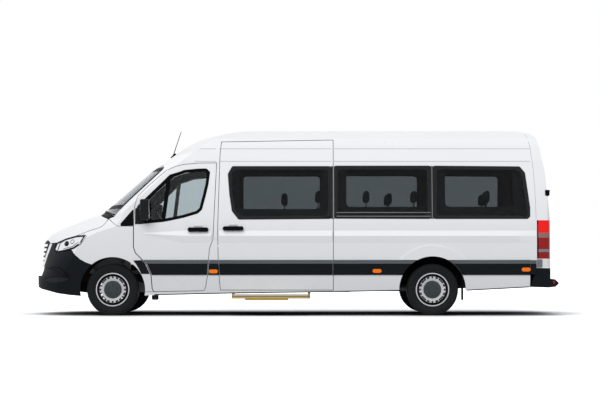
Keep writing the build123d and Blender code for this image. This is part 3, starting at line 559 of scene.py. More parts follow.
bpy.ops.object.select_all(action="DESELECT")
bpy.ops.object.light_add(type="SUN", location=(0, -6, 12), rotation=SUN_TURN)
sun = bpy.context.object
sun.name = "wide_sun"
sun.data.energy = SUN_POWER
sun.data.angle = SUN_SPREAD
sun.visible_glossy = False

CAMERA_PLACE = (0.0705, -24.01, 0.708)
CAMERA_LENS = 102.2
CAMERA_TILT = math.radians(92.12)
bpy.ops.object.select_all(action="DESELECT")
bpy.ops.object.camera_add(location=CAMERA_PLACE, rotation=(CAMERA_TILT, 0, 0))
scene.camera = bpy.context.object
scene.camera.data.lens = CAMERA_LENS
scene.camera.data.sensor_width = 36
scene.camera.data.clip_end = 600
scene.view_settings.view_transform = "Standard"
print("camera at", CAMERA_PLACE)

# %% [markdown]
# Each piece needs three things besides its mesh: a finish, the body that it rides on and its slot in the table of
# materials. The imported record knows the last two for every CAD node, so they are looked up rather than typed again.

# %% Finish, body and slot
BODY_OF = {node: body for body, members in frame["record"]["behaviour"]["bodies"].items() for node in members}
SLOT_OF = {row["node"]: row["material_slot"] for row in frame["record"]["subparts"]}


def dress(node, material):
    """Gives a CAD node its finish and keeps its own mesh."""
    piece = nodes[node]
    piece.data.materials.clear()
    piece.data.materials.append(material)
    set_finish(piece, SLOT_OF[node])


def add_piece(piece, body, material, slot):
    """Gives a new piece its finish, its body and its slot."""
    if material:
        piece.data.materials.clear()
        piece.data.materials.append(material)
    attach(piece, body)
    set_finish(piece, slot)
    return piece


print("bodies:", len(set(BODY_OF.values())))

# %% [markdown]
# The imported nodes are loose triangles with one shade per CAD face. Where a panel is curved, a merged copy of the node
# stands for it, with its normals smoothed across the faces but kept sharp at the cut edges. Smoothing the node itself
# would do nothing, because its triangles share no corners.

# %% Merged and smoothed copies


def merged_copy(node, name):
    """A copy of a CAD node with its corners joined, for smoothing or reshaping."""
    activate(nodes[node])
    bpy.ops.object.duplicate()
    piece = bpy.context.object
    bpy.ops.object.parent_clear(type="CLEAR_KEEP_TRANSFORM")
    piece.name = name
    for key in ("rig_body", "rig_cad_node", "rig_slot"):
        if key in piece:
            del piece[key]
    bpy.ops.mesh.customdata_custom_splitnormals_clear()
    bpy.ops.object.mode_set(mode="EDIT")
    bpy.ops.mesh.select_all(action="SELECT")
    bpy.ops.mesh.remove_doubles(threshold=0.00002)
    close_edit()
    return piece


def smooth_copy(node, material, degrees=24):
    """A merged, smoothed copy that stands for a CAD node."""
    piece = merged_copy(node, node + "_skin")
    smooth(piece, degrees)
    modify(piece, "WEIGHTED_NORMAL", keep_sharp=True, weight=80)
    add_piece(piece, BODY_OF[node], material, SLOT_OF[node])
    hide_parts(node)
    return piece


print("copies ready")

# %% [markdown]
# A body panel is white outside and lined with dark trim inside, so the faces of each panel that look into the vehicle
# get a second finish. A separate lining could be modelled, but the panels already have an inner wall. Bands of colour
# are made by cutting new edges at their heights, so that a colour ends on an edge and not on a zigzag of triangles.

# %% Cutting and painting faces


def cut_levels(piece, levels, normal=(0, 0, 1)):
    """Cuts new edges round a piece at these distances along a direction."""
    activate(piece)
    bpy.ops.object.mode_set(mode="EDIT")
    for level in levels:
        bpy.ops.mesh.select_all(action="SELECT")
        bpy.ops.mesh.bisect(plane_co=Vector(normal) * level, plane_no=normal)
    close_edit()


def paint(piece, material, wanted):
    """Gives a second finish to the faces that pass wanted(centre, normal)."""
    names = [slot.name for slot in piece.data.materials if slot]
    if material.name not in names:
        piece.data.materials.append(material)
        names.append(material.name)
    for face in piece.data.polygons:
        if wanted(face.center, face.normal):
            face.material_index = names.index(material.name)


print("paint helpers ready")

# %% Body panels
PANELS = {
    "roof": lambda c, n: n.z < -0.3 or n.y * c.y < -0.1 and abs(n.z) < 0.6,
    "bonnet": lambda c, n: n.z < -0.2,
    "front_wings": lambda c, n: n.y * c.y < -0.1,
    "body_side_left": lambda c, n: n.y > 0.3 or n.x < -0.3 and c.x > 3,
    "body_side_right": lambda c, n: n.y < -0.3 or n.x < -0.3 and c.x > 3,
    "sliding_door": lambda c, n: n.y > 0.3,
    "front_door_left": lambda c, n: n.y > 0.3,
    "front_door_right": lambda c, n: n.y < -0.3,
    "rear_door_left": lambda c, n: n.x < -0.3,
    "rear_door_right": lambda c, n: n.x < -0.3,
}

ROOF_SLOPE, GUTTER = 0.55, 2.2
panel_of = {}
for node, looks_inside in PANELS.items():
    panel_of[node] = smooth_copy(node, body_white)
    paint(panel_of[node], lining_grey, looks_inside)

# The roof's upward faces take the darker white, painted shade.
paint(panel_of["roof"], roof_painted_shade, lambda c, n: n.z > ROOF_SLOPE and c.z > GUTTER)
print("body panels:", len(panel_of))

# %% [markdown]
# The bumpers and the rubbing band are moulded plastic. The band's upper strip faces the sky and reads paler, so it is
# parted off at its edge and takes a lighter grey, a painted highlight, on the doors' trim as well as on the flanks.

# %% Bumpers, bands and trim
BAND_EDGE, BAND_TOP = 0.700, 0.76
for node in ("front_bumper", "rear_bumper", "cladding"):
    panel_of[node] = smooth_copy(node, bumper_grey)
for node in ("cladding", "front_door_trim_left", "front_door_trim_right"):
    if node not in panel_of:
        panel_of[node] = smooth_copy(node, trim_black)
        paint(panel_of[node], bumper_grey, lambda c, n: c.z < BAND_TOP)
    cut_levels(panel_of[node], (BAND_EDGE,))
    # The band's upper strip takes the lighter grey, a painted highlight.
    paint(panel_of[node], band_painted_highlight, lambda c, n: BAND_EDGE < c.z < BAND_TOP and abs(n.y) > 0.5)
for node in ("cowl", "grille", "antenna", "wipers", "sliding_door_handle"):
    panel_of[node] = smooth_copy(node, frame_black)
panel_of["grille_frame"] = smooth_copy("grille_frame", bright_silver)
panel_of["side_markers"] = smooth_copy("side_markers", lens_orange)
print("panels:", len(panel_of))

# %% [markdown]
# Nodes that are flat, hidden or seen through glass keep their own meshes, since smoothing would change nothing that
# can be seen. They only get a finish and their slot. The curved windscreen alone is smoothed, so that what it mirrors
# runs on without facets.

# %% The plain CAD nodes
smooth_copy("windscreen", screen_glass)
for side, label in SIDES:
    dress(f"front_door_glass_{label}", cab_glass)
    dress(f"rear_door_glass_{label}", privacy_glass)
    dress(f"knuckle_{label}", under_black)
for node in ("side_glass", "sliding_door_glass"):
    dress(node, privacy_glass)
for node in ("chassis_frame", "front_suspension", "rear_axle", "fuel_tank", "seat_frames"):
    dress(node, under_black)
for node, material in (
    ("wheel_liners", liner_black), ("floor_pan", floor_vinyl), ("engine", cast_grey), ("gearbox", cast_grey),
    ("exhaust", pipe_steel), ("dashboard", dash_grey), ("steering_wheel", dash_grey),
    ("headlamps", lens_white), ("front_seats", dash_grey), ("saloon_seats", dash_grey),
):
    dress(node, material)
print("CAD nodes dressed")

# %% [markdown]
# Each tail lamp is one moulding with bands of different plastic. Five separate lenses would leave gaps, so a copy of
# the lamp is cut at the heights of the bands, and each band takes its own lens. The side step is painted in bands too:
# cream tread, grey edge, gold nosing.

# %% Tail lamps and side step
LAMP_BANDS = ((0.767, lens_dark_red), (0.857, lens_grey), (0.896, lens_dark_red), (1.050, lens_smoke),
              (1.121, lens_red))
LAMP_FRONT = 3.288
LAMP_TOP = 1.4
lamps = smooth_copy("tail_lamps", gloss_black)
cut_levels(lamps, [low for low, _ in LAMP_BANDS[1:]])
cut_levels(lamps, (LAMP_FRONT,), (1, 0, 0))
for index, (low, material) in enumerate(LAMP_BANDS):
    high = LAMP_BANDS[index + 1][0] if index + 1 < len(LAMP_BANDS) else LAMP_TOP
    paint(lamps, material, lambda c, n, low=low, high=high: low < c.z < high and c.x > LAMP_FRONT)

paint(lamps, lining_grey, lambda c, n: n.y * c.y < -0.2 or n.x < -0.5)

EDGE_LOW, EDGE_HIGH = 0.254, 0.271
TREAD_FROM, TREAD_TO = -0.82, 0.18
step = smooth_copy("side_step", step_gold)
cut_levels(step, (EDGE_LOW, EDGE_HIGH))
paint(step, step_cream, lambda c, n: c.z > EDGE_HIGH and TREAD_FROM < c.x < TREAD_TO)
paint(step, rail_grey, lambda c, n: EDGE_LOW < c.z < EDGE_HIGH and n.y < -0.5)
print("lamp bands:", len(LAMP_BANDS))

# %% [markdown]
# A steel wheel is silver on its disc and its outer lip, and the hub cap is dark plastic. The well between disc and lip,
# the back of the disc and the walls of the vent holes are painted near black: painted shade of these hollows. The rim
# is one CAD node, so its faces are told apart by how far they lie from the wheel's axis and how far out they stand.

# %% Wheels
AXLE_Z = 0.349
WHEEL_Y = 0.855
AXLES = {"front": -2.463, "rear": 1.862}
WHEELS = [(place, label, side, (x, side * WHEEL_Y, AXLE_Z)) for place, x in AXLES.items() for side, label in SIDES]
CAP_EDGE, CAP_STANDS = 0.1165, 0.066
WELL_FROM, WELL_TO, WELL_STANDS = 0.180, 0.2125, 0.0975
SLOTS_FROM, DISC_BACK = 0.150, 0.045


def from_axle(centre, spot):
    """How far a point lies from a wheel's axis."""
    return math.hypot(spot.x - centre[0], spot.z - centre[2])


for place, label, side, centre in WHEELS:
    rim = smooth_copy(f"rim_{place}_{label}", silver_paint, 28)
    paint(rim, cap_grey, lambda c, n, m=centre, s=side: from_axle(m, c) < CAP_EDGE
          and (c.y - m[1]) * s > CAP_STANDS)
    # Painted shade: the well, the back of the disc and the vent holes' walls are near black.
    paint(rim, under_black, lambda c, n, m=centre, s=side: WELL_FROM < from_axle(m, c) < WELL_TO
          and (c.y - m[1]) * s < WELL_STANDS)
    paint(rim, under_black, lambda c, n, m=centre, s=side: (c.y - m[1]) * s < DISC_BACK)
    paint(rim, under_black, lambda c, n, m=centre: SLOTS_FROM < from_axle(m, c) < WELL_FROM and abs(n.y) < 0.5)
print("wheels painted:", len(WHEELS))

# %% [markdown]
# Much of the trim is flat or follows the skin. It is drawn as seen from one side, from points (along, up), beside the
# vehicle, and is then moved in until it lies on the body. Drawing straight on a curved panel would need each point's
# depth, which a ray from outside finds by itself.

# %% Flat shapes and rays
FRONT, REAR = 2, 3
BESIDE, BEFORE = 1.4, 4.2
LOOKS = {
    NEAR: (lambda along, up: (along, -BESIDE, up), Vector((0, 1, 0))),
    FAR: (lambda along, up: (along, BESIDE, up), Vector((0, -1, 0))),
    FRONT: (lambda along, up: (-BEFORE, along, up), Vector((1, 0, 0))),
    REAR: (lambda along, up: (BEFORE, along, up), Vector((-1, 0, 0))),
}


def plate(name, outline, view=NEAR, parts=1):
    """A flat face with this outline, which stands beside the vehicle."""
    bpy.ops.object.select_all(action="DESELECT")
    bpy.ops.mesh.primitive_circle_add(vertices=len(outline), radius=1, fill_type="NGON")
    piece = bpy.context.object
    piece.name = name
    for vertex, (along, up) in zip(piece.data.vertices, outline):
        vertex.co = LOOKS[view][0](along, up)
    settle(piece, name)
    if parts > 1:
        bpy.ops.object.mode_set(mode="EDIT")
        bpy.ops.mesh.select_all(action="SELECT")
        bpy.ops.mesh.quads_convert_to_tris()
        bpy.ops.mesh.subdivide(number_cuts=parts - 1)
        close_edit()
    return piece


def corners(low_x, low_z, high_x, high_z):
    """The outline of an upright rectangle."""
    return ((low_x, low_z), (high_x, low_z), (high_x, high_z), (low_x, high_z))


def rounded(points, radius, steps=4):
    """A closed outline of (x, z) points with its corners rounded."""
    made = []
    for i, corner in enumerate(points):
        corner = Vector(corner)
        before = (Vector(points[i - 1]) - corner).normalized()
        after = (Vector(points[(i + 1) % len(points)]) - corner).normalized()
        start, end = corner + before * radius, corner + after * radius
        for k in range(steps + 1):
            t = k / steps
            made.append(tuple(start * (1 - t) ** 2 + corner * 2 * t * (1 - t) + end * t * t))
    return made


surfaces = {}


def meets(spot, towards, names):
    """How far a ray from outside travels until it first meets one of these CAD nodes."""
    best = None
    for name in names:
        if name not in surfaces:
            mesh = nodes[name].data
            surfaces[name] = BVHTree.FromPolygons([v.co for v in mesh.vertices],
                                                  [face.vertices for face in mesh.polygons])
        travel = surfaces[name].ray_cast(spot, towards)[3]
        if travel is not None and (best is None or travel < best):
            best = travel
    return best


print("views:", len(LOOKS))

# %% [markdown]
# The vent holes round the disc are read as dark. Cutting them through would open the wheel to the white floor behind,
# so a thin dark tab, shaped like one hole, lies flush in the mouth of each, painted shade of the hole. The tabs of a
# wheel are one piece.

# %% Vent holes
VENT_RADIUS = 0.1655
VENTS = 20
HALF_HOLE_ACROSS, HALF_HOLE_RADIAL, HOLE_ROUND = 0.0125, 0.0115, 0.007
for place, label, side, centre in WHEELS:
    between = math.radians(180 / VENTS + 90)
    spot = Vector((centre[0] + VENT_RADIUS * math.cos(between), side * BESIDE,
                   centre[2] + VENT_RADIUS * math.sin(between)))
    face_y = side * (BESIDE - meets(spot, Vector((0, -side, 0)), [f"rim_{place}_{label}"]))
    tabs = []
    for number in range(VENTS):
        turn = 2 * math.pi * number / VENTS + math.radians(90)
        shape = rounded(corners(-HALF_HOLE_ACROSS, VENT_RADIUS - HALF_HOLE_RADIAL, HALF_HOLE_ACROSS,
                                VENT_RADIUS + HALF_HOLE_RADIAL), HOLE_ROUND, 3)
        points = [(centre[0] + x * math.sin(turn) + z * math.cos(turn),
                   centre[2] - x * math.cos(turn) + z * math.sin(turn)) for x, z in shape]
        tab = plate(f"vent_{place}_{label}_{number}", points, side)
        for vertex in tab.data.vertices:
            vertex.co.y = face_y + side * 0.0005
        tabs.append(tab)
    activate(*tabs)
    bpy.ops.object.join()
    vent_shades = bpy.context.object
    vent_shades.name = f"vents_{place}_{label}"
    modify(vent_shades, "SOLIDIFY", thickness=0.001, offset=0.0)
    outward(vent_shades)
    # The tabs are painted shade, near black in the mouth of each hole.
    add_piece(vent_shades, f"wheel_{place}_{label}", under_black, "rim_steel")
print("vent holes:", VENTS * len(WHEELS))

# %% [markdown]
# A tyre's side is not flat: a rim guard, a step and the shoulder show as fine rings. Its profile is spun about the
# axle, then the faces of the tread are inset and pushed out one by one, which leaves blocks with grooves between. A
# bump would look the same from afar, but the outline at the ground would stay smooth.

# %% Spinning and copying


def turned(name, profile, centre, steps=72, along=1):
    """A closed ring: a profile of (across, radius) points spun about an axis along Y."""
    bpy.ops.object.select_all(action="DESELECT")
    bpy.ops.mesh.primitive_circle_add(vertices=len(profile), radius=1, fill_type="NOTHING")
    piece = settle(bpy.context.object, name)
    for vertex, (across, radius) in zip(piece.data.vertices, profile):
        vertex.co = (centre[0], centre[1] + along * across, centre[2] + radius)
    bpy.ops.object.mode_set(mode="EDIT")
    bpy.ops.mesh.select_all(action="SELECT")
    bpy.ops.mesh.spin(steps=steps, angle=2 * math.pi, center=centre, axis=(0, 1, 0))
    bpy.ops.mesh.select_all(action="SELECT")
    bpy.ops.mesh.remove_doubles(threshold=0.00002)
    bpy.ops.mesh.normals_make_consistent(inside=False)
    close_edit()
    return piece


def copied(piece, name, move):
    """A copy with its own mesh, moved."""
    activate(piece)
    bpy.ops.object.duplicate()
    twin = bpy.context.object
    twin.name = name
    twin.location = move
    bpy.ops.object.transform_apply(location=True, rotation=True, scale=True)
    return twin


print("spin helpers ready")

# %% Tyres
SIDEWALL = ((0.098, 0.2265), (0.101, 0.231), (0.1065, 0.239), (0.1065, 0.243), (0.104, 0.246), (0.109, 0.262),
            (0.1125, 0.281), (0.1120, 0.298), (0.1095, 0.3005), (0.1100, 0.304), (0.1080, 0.308), (0.1035, 0.326),
            (0.0965, 0.336))
TREAD_BASE = 0.3425
TREAD_RISE = 0.0063
TREAD_CUTS = (0.086, 0.052, 0.018, -0.018, -0.052, -0.086)
profile = [*SIDEWALL, *((across, TREAD_BASE) for across in TREAD_CUTS), *((-a, r) for a, r in reversed(SIDEWALL))]
tyre = turned("tyre_tread", profile, (0, 0, AXLE_Z), steps=80)
pick_faces(tyre, lambda c, n: math.hypot(c.x, c.z - AXLE_Z) > TREAD_BASE - 0.001)
bpy.ops.mesh.inset(thickness=0.0024, use_individual=True)
bpy.ops.mesh.extrude_faces_move(TRANSFORM_OT_shrink_fatten={"value": TREAD_RISE})
close_edit()
smooth(tyre, 32)
tyre.data.materials.append(tyre_black)
for place, label, side, centre in WHEELS:
    copy = copied(tyre, f"tyre_{place}_{label}_tread", (centre[0], centre[1], 0))
    add_piece(copy, f"wheel_{place}_{label}", tyre_black, "tyre_rubber")
    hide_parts(f"tyre_{place}_{label}")
bpy.data.objects.remove(tyre)
print("tyres:", len(WHEELS))

# %% [markdown]
# Five shallow dimples ring the middle of each hub cap. Cutting them in would mean cutting the CAD rim, so a low dish
# with a raised edge is spun in place and rides on the wheel.

# %% Hub cap dimples
CAP_FACE = 0.0863
DIMPLE_RING = 0.062
DIMPLES = 5
DIMPLE_PROFILE = ((0.0, 0.019), (0.003, 0.0175), (0.003, 0.0145), (-0.001, 0.0135), (-0.001, 0.019))
for place, label, side, centre in WHEELS:
    for turn in range(DIMPLES):
        angle = math.radians(90 + 360 / DIMPLES * turn)
        spot = (centre[0] + DIMPLE_RING * math.cos(angle), centre[1] + side * CAP_FACE,
                centre[2] + DIMPLE_RING * math.sin(angle))
        ring = turned(f"cap_ring_{place}_{label}_{turn}", DIMPLE_PROFILE, spot, steps=20, along=side)
        add_piece(smooth(ring, 40), f"wheel_{place}_{label}", cap_grey, "rim_steel")
print("hub cap rings:", DIMPLES * len(WHEELS))

# %% [markdown]
# A border between two outlines could be cut out of a plate with a boolean, which leaves long thin triangles. Rays from
# the middle cut both outlines at the same angles instead, and a grid joined end to end fills the band evenly, so it
# bends with the glass that it is laid on.

# %% Nets, borders and laying on


def rows_of(name, rows, view=NEAR, ring=False):
    """A flat net through rows of points, all of one length. A ring joins its two ends."""
    bpy.ops.object.select_all(action="DESELECT")
    bpy.ops.mesh.primitive_grid_add(x_subdivisions=len(rows[0]) - 1, y_subdivisions=len(rows) - 1, size=1)
    piece = settle(bpy.context.object, name)
    places = [LOOKS[view][0](*point) for row in rows for point in row]
    for vertex, spot in zip(piece.data.vertices, places):
        vertex.co = spot
    if ring:
        bpy.ops.object.mode_set(mode="EDIT")
        bpy.ops.mesh.select_all(action="SELECT")
        bpy.ops.mesh.remove_doubles(threshold=0.00001)
        close_edit()
    return piece


def swept_outline(outline, centre, count):
    """Points on a closed outline, in even turns round a centre inside it."""
    points = []
    for i in range(count + 1):
        turn = 2 * math.pi * (i % count) / count
        way = (math.cos(turn), math.sin(turn))
        far = 0
        for (x0, z0), (x1, z1) in zip(outline, [*outline[1:], outline[0]]):
            edge = (x1 - x0, z1 - z0)
            cross = way[0] * edge[1] - way[1] * edge[0]
            if abs(cross) < 1e-12:
                continue
            from_centre = (x0 - centre[0], z0 - centre[1])
            reach = (from_centre[0] * edge[1] - from_centre[1] * edge[0]) / cross
            share = (from_centre[0] * way[1] - from_centre[1] * way[0]) / cross
            if reach > 0 and -1e-9 <= share <= 1 + 1e-9:
                far = max(far, reach)
        points.append((centre[0] + way[0] * far, centre[1] + way[1] * far))
    return points


def border(name, outer, inner, view=NEAR, count=160):
    """A flat border between two closed outlines, one inside the other."""
    centre = [sum(point[k] for point in inner) / len(inner) for k in (0, 1)]
    rows = (swept_outline(inner, centre, count), swept_outline(outer, centre, count))
    return rows_of(name, rows, view, ring=True)


def drawn_in(outline, by):
    """An outline with each of its edges moved in by this much."""
    middle = [sum(point[k] for point in outline) / len(outline) for k in (0, 1)]
    lines = []
    for (x0, z0), (x1, z1) in zip(outline, [*outline[1:], outline[0]]):
        run = math.hypot(x1 - x0, z1 - z0)
        normal = (-(z1 - z0) / run, (x1 - x0) / run)
        level = normal[0] * x0 + normal[1] * z0
        if normal[0] * middle[0] + normal[1] * middle[1] < level:
            normal, level = (-normal[0], -normal[1]), -level
        lines.append((*normal, level + by))
    made = []
    for (a, b, c), (d, e, f) in zip([lines[-1], *lines[:-1]], lines):
        cross = a * e - b * d
        made.append(((c * e - b * f) / cross, (a * f - c * d) / cross))
    return made


def lay_on(piece, names, view=NEAR, proud=0.0006, thick=0.0, angle=30):
    """Moves a flat piece in until it lies on these CAD nodes, and gives it a thickness."""
    towards = LOOKS[view][1]
    points = piece.data.vertices
    travels = [meets(vertex.co.copy(), towards, names) for vertex in points]
    found = [i for i, travel in enumerate(travels) if travel is not None]
    for i, vertex in enumerate(points):
        if travels[i] is None:
            travels[i] = travels[min(found, key=lambda k: (points[k].co - vertex.co).length)]
    for vertex, travel in zip(points, travels):
        vertex.co += towards * (travel - proud)
    activate(piece)
    bpy.ops.object.mode_set(mode="EDIT")
    bpy.ops.mesh.select_all(action="SELECT")
    bpy.ops.mesh.normals_make_consistent(inside=False)
    close_edit()
    if sum(face.normal.dot(towards) * face.area for face in piece.data.polygons) > 0:
        bpy.ops.object.mode_set(mode="EDIT")
        bpy.ops.mesh.select_all(action="SELECT")
        bpy.ops.mesh.flip_normals()
        close_edit()
    if thick:
        modify(piece, "SOLIDIFY", thickness=thick, offset=1.0)
    return smooth(piece, angle)


print("border helpers ready")

# %% [markdown]
# Bonded panes have a black printed edge that hides the glue. It is a thin border laid on the glass, between the
# pane's outline and a smaller one. Inside, a trim panel frames each window; it is laid on the same glass and then
# moved in through the wall.

# %% Window borders and inner frames
PANES = {
    # name: (outline of the pane, inner opening: low x, low z, high x, high z)
    "window_1": (((-0.911, 1.915), (-0.889, 1.644), (-0.853, 1.409), (-0.762, 1.292), (0.500, 1.301),
                  (0.500, 2.024), (-0.850, 2.024)), (-0.756, 1.440, 0.359, 1.975)),
    "window_2": (((0.531, 1.305), (1.847, 1.301), (1.847, 2.030), (0.531, 2.030)), (0.700, 1.470, 1.780, 1.975)),
    "window_3": (((1.871, 1.301), (1.871, 2.030), (3.050, 2.020), (3.123, 1.934), (3.185, 1.463), (3.185, 1.337),
                  (3.150, 1.301)), (2.040, 1.470, 2.960, 1.975)),
}
BORDER_WIDTH = 0.050
PANE_INSET, PANE_ROUND = 0.004, 0.026
FRAME_DEPTH = 0.060
for name, (outline, opening) in PANES.items():
    for side, label in SIDES:
        on_door = name == "window_1" and side == NEAR
        glass = ["sliding_door_glass" if on_door else "side_glass"]
        edge = border(f"{name}_{label}_border", rounded(drawn_in(outline, PANE_INSET), PANE_ROUND),
                      rounded(drawn_in(outline, BORDER_WIDTH), 0.05), side)
        lay_on(edge, glass, side, proud=0.0004, thick=0.0006)
        add_piece(edge, "vehicle", gloss_black, "glass_dark")
        frame_piece = border(f"{name}_{label}_frame", rounded(drawn_in(outline, PANE_INSET), PANE_ROUND),
                             rounded(corners(*opening), 0.06), side)
        lay_on(frame_piece, glass, side, proud=-FRAME_DEPTH, thick=0.004)
        add_piece(frame_piece, "vehicle", inner_grey, "door_trim")
print("window borders:", 2 * len(PANES))

# %% [markdown]
# The side windows read as one dark band, so the narrow posts between the panes are covered in black. Painting them
# would colour the whole panel face, and a thin strip laid over post and glass also hides the gap between them.

# %% Black posts
POST_LOW, POST_HIGH, POST_STEPS = 1.304, 2.022, 13
POSTS = (
    # name, side, x from, x to, nodes under it
    ("door_post", NEAR, 0.494, 0.5155, ["sliding_door", "sliding_door_glass"]),
    ("side_post", NEAR, 0.5285, 0.540, ["body_side_left", "side_glass"]),
    ("far_post", FAR, 0.494, 0.540, ["body_side_right", "side_glass"]),
    ("rear_post_left", NEAR, 1.840, 1.878, ["body_side_left", "side_glass"]),
    ("rear_post_right", FAR, 1.840, 1.878, ["body_side_right", "side_glass"]),
)
for name, side, first, last, under in POSTS:
    levels = [POST_LOW + (POST_HIGH - POST_LOW) * i / POST_STEPS for i in range(POST_STEPS + 1)]
    post = rows_of(name, [[(first, z) for z in levels], [(last, z) for z in levels]], side)
    lay_on(post, under, side, proud=0.0004, thick=0.0008)
    add_piece(post, "vehicle", gloss_black, "glass_dark")
print("black posts:", len(POSTS))

# %% [markdown]
# The middle window opens in its lower part, so two slim aluminium rails cross it, and a slim bead stands at each
# joint between two panes. A flat band along a line is enough: it is laid on the glass and thickened.

# %% Bands along a line


def spaced(line, step=0.05):
    """Points along a line, no farther apart than a step."""
    points = []
    for (x0, z0), (x1, z1) in zip(line, line[1:]):
        count = max(1, round(math.hypot(x1 - x0, z1 - z0) / step))
        points += [(x0 + (x1 - x0) * i / count, z0 + (z1 - z0) * i / count) for i in range(count)]
    return points + [line[-1]]


def strip(name, line, width, view=NEAR, step=0.05):
    """A flat band of this width along a line."""
    points = spaced(line, step)
    rows = ([], [])
    for i, (x, z) in enumerate(points):
        before, after = points[max(i - 1, 0)], points[min(i + 1, len(points) - 1)]
        run = math.hypot(after[0] - before[0], after[1] - before[1])
        across = (-(after[1] - before[1]) / run, (after[0] - before[0]) / run)
        for row, way in zip(rows, (-1, 1)):
            row.append((x + way * across[0] * width / 2, z + way * across[1] * width / 2))
    return rows_of(name, rows, view)


print("strip helper ready")

# %% Window rails and beads
for side, label in SIDES:
    for number, level in enumerate((1.391, 1.340)):
        rail = strip(f"window_2_{label}_rail_{number}", ((0.566, level), (1.838, level)), 0.011, side)
        lay_on(rail, ["side_glass"], side, proud=0.0008, thick=0.004)
        add_piece(rail, "vehicle", rail_grey, "glass_dark")
    bead = strip(f"window_3_{label}_bead", ((1.859, 1.304), (1.859, 2.028)), 0.012, side)
    lay_on(bead, [f"body_side_{label}"], side, proud=0.0010, thick=0.003)
    add_piece(bead, "vehicle", rail_grey, "glass_dark")
print("rails and beads placed")

# %% [markdown]
# The cab door windows have a black frame, a post that parts off the quarter light, and a black triangle ahead of the
# mirror. All are drawn in the side view and laid on the glass or the panel. The frame and the post ride on the door,
# and the triangle stays on the body.

# %% Cab door windows
FRONT_WINDOW = ((-2.130, 1.480), (-1.694, 1.907), (-1.550, 1.951), (-1.504, 1.970), (-1.323, 1.988),
                (-1.196, 1.992), (-1.147, 1.942), (-1.169, 1.770), (-1.211, 1.590), (-1.254, 1.428),
                (-1.313, 1.374), (-1.504, 1.318), (-1.685, 1.279), (-1.784, 1.261), (-2.130, 1.229))
MIRROR_CORNER = ((-2.385, 1.206), (-2.190, 1.432), (-2.180, 1.425), (-2.180, 1.212))
for side, label in SIDES:
    edge = border(f"cab_window_{label}_frame", drawn_in(FRONT_WINDOW, 0.002), drawn_in(FRONT_WINDOW, 0.042), side)
    lay_on(edge, [f"front_door_glass_{label}"], side, proud=0.001, thick=0.002)
    post = strip(f"quarter_light_{label}_post", ((-1.702, 1.875), (-1.776, 1.292)), 0.054, side)
    lay_on(post, [f"front_door_glass_{label}"], side, proud=0.0012, thick=0.003)
    for piece in (edge, post):
        add_piece(piece, f"front_door_{label}", frame_black, "door_trim")
    corner_trim = plate(f"mirror_corner_{label}", MIRROR_CORNER, side, parts=3)
    lay_on(corner_trim, ["front_wings", f"body_side_{label}", "cowl"], side, proud=0.0008, thick=0.002)
    add_piece(corner_trim, "vehicle", frame_black, "door_trim")
print("cab windows framed")

# %% [markdown]
# The mirror glass is two panes, a tall flat one over a small wide-angle one, on the rear face of each housing. An
# orange repeater lies across its front face. They are drawn from the rear and from the front, and they ride on the
# door with the housing.

# %% Mirrors
for side, label in SIDES:
    for number, (low, high) in enumerate(((1.308, 1.366), (1.376, 1.550))):
        shape = rounded([(side * y, z) for y, z in corners(1.049, low, 1.160, high)], 0.014)
        pane = plate(f"mirror_glass_{label}_{number}", shape, REAR)
        lay_on(pane, [f"front_door_trim_{label}"], REAR, proud=0.0008, thick=0.0015)
        add_piece(pane, f"front_door_{label}", mirror_silver, "door_trim")
    shape = rounded([(side * y, z) for y, z in corners(1.072, 1.426, 1.140, 1.440)], 0.005)
    repeater = plate(f"mirror_repeater_{label}", shape, FRONT)
    lay_on(repeater, [f"front_door_trim_{label}"], FRONT, proud=0.0008, thick=0.002)
    add_piece(repeater, f"front_door_{label}", lens_orange, "lamp_orange")
print("mirrors fitted")

# %% [markdown]
# A headlamp has a black edge, a dark projector and a grey ring beside it. Modelling the bowl behind a clear lens would
# cost much and show little from the side, so the outlines follow the lamp's own outline, and everything is laid on
# its lens.

# %% Headlamps


def arc(centre, radius, first, last, count):
    """Points on an arc in the side view, with its angles in degrees."""
    turns = [math.radians(first + (last - first) * i / count) for i in range(count + 1)]
    return [(centre[0] + radius * math.cos(t), centre[1] + radius * math.sin(t)) for t in turns]


NOSE = -3.570
HEADLAMP = [(NOSE + back, z) for back, z in (
    (0.268, 0.886), (0.303, 0.985), (0.449, 1.042), (0.599, 1.077), (0.742, 1.085), (0.677, 0.966), (0.582, 0.905),
    (0.452, 0.871), (0.329, 0.850))]
PROJECTOR, BEAM_RING = (NOSE + 0.465, 0.972), (NOSE + 0.550, 0.998)
FULL_TURN = (0, 345, 23)
for side, label in SIDES:
    made = [
        (border(f"headlamp_{label}_edge", drawn_in(HEADLAMP, 0.0005), drawn_in(HEADLAMP, 0.020), side),
         frame_black),
        (plate(f"headlamp_{label}_projector", arc(PROJECTOR, 0.036, *FULL_TURN), side, parts=2), frame_black),
        (border(f"headlamp_{label}_ring", arc(BEAM_RING, 0.031, *FULL_TURN), arc(BEAM_RING, 0.021, *FULL_TURN),
                side, 48), rail_grey),
        (strip(f"headlamp_{label}_guide", ((NOSE + 0.330, 0.872), (NOSE + 0.358, 0.978), (NOSE + 0.425, 1.016)),
               0.014, side, 0.03), gloss_black),
        (strip(f"headlamp_{label}_lip", ((NOSE + 0.420, 0.900), (NOSE + 0.560, 0.932), (NOSE + 0.640, 0.990)),
               0.010, side, 0.03), rail_grey),
    ]
    for piece, material in made:
        lay_on(piece, ["headlamps"], side, proud=0.0008, thick=0.0012)
        add_piece(piece, "vehicle", material, "lamp_clear")
print("headlamps detailed")

# %% [markdown]
# The bumper has a black line round its recess and a slightly paler lens-shaped band low on each corner. The band is
# subdivided before it is laid on, so that it follows the bumper's curve.

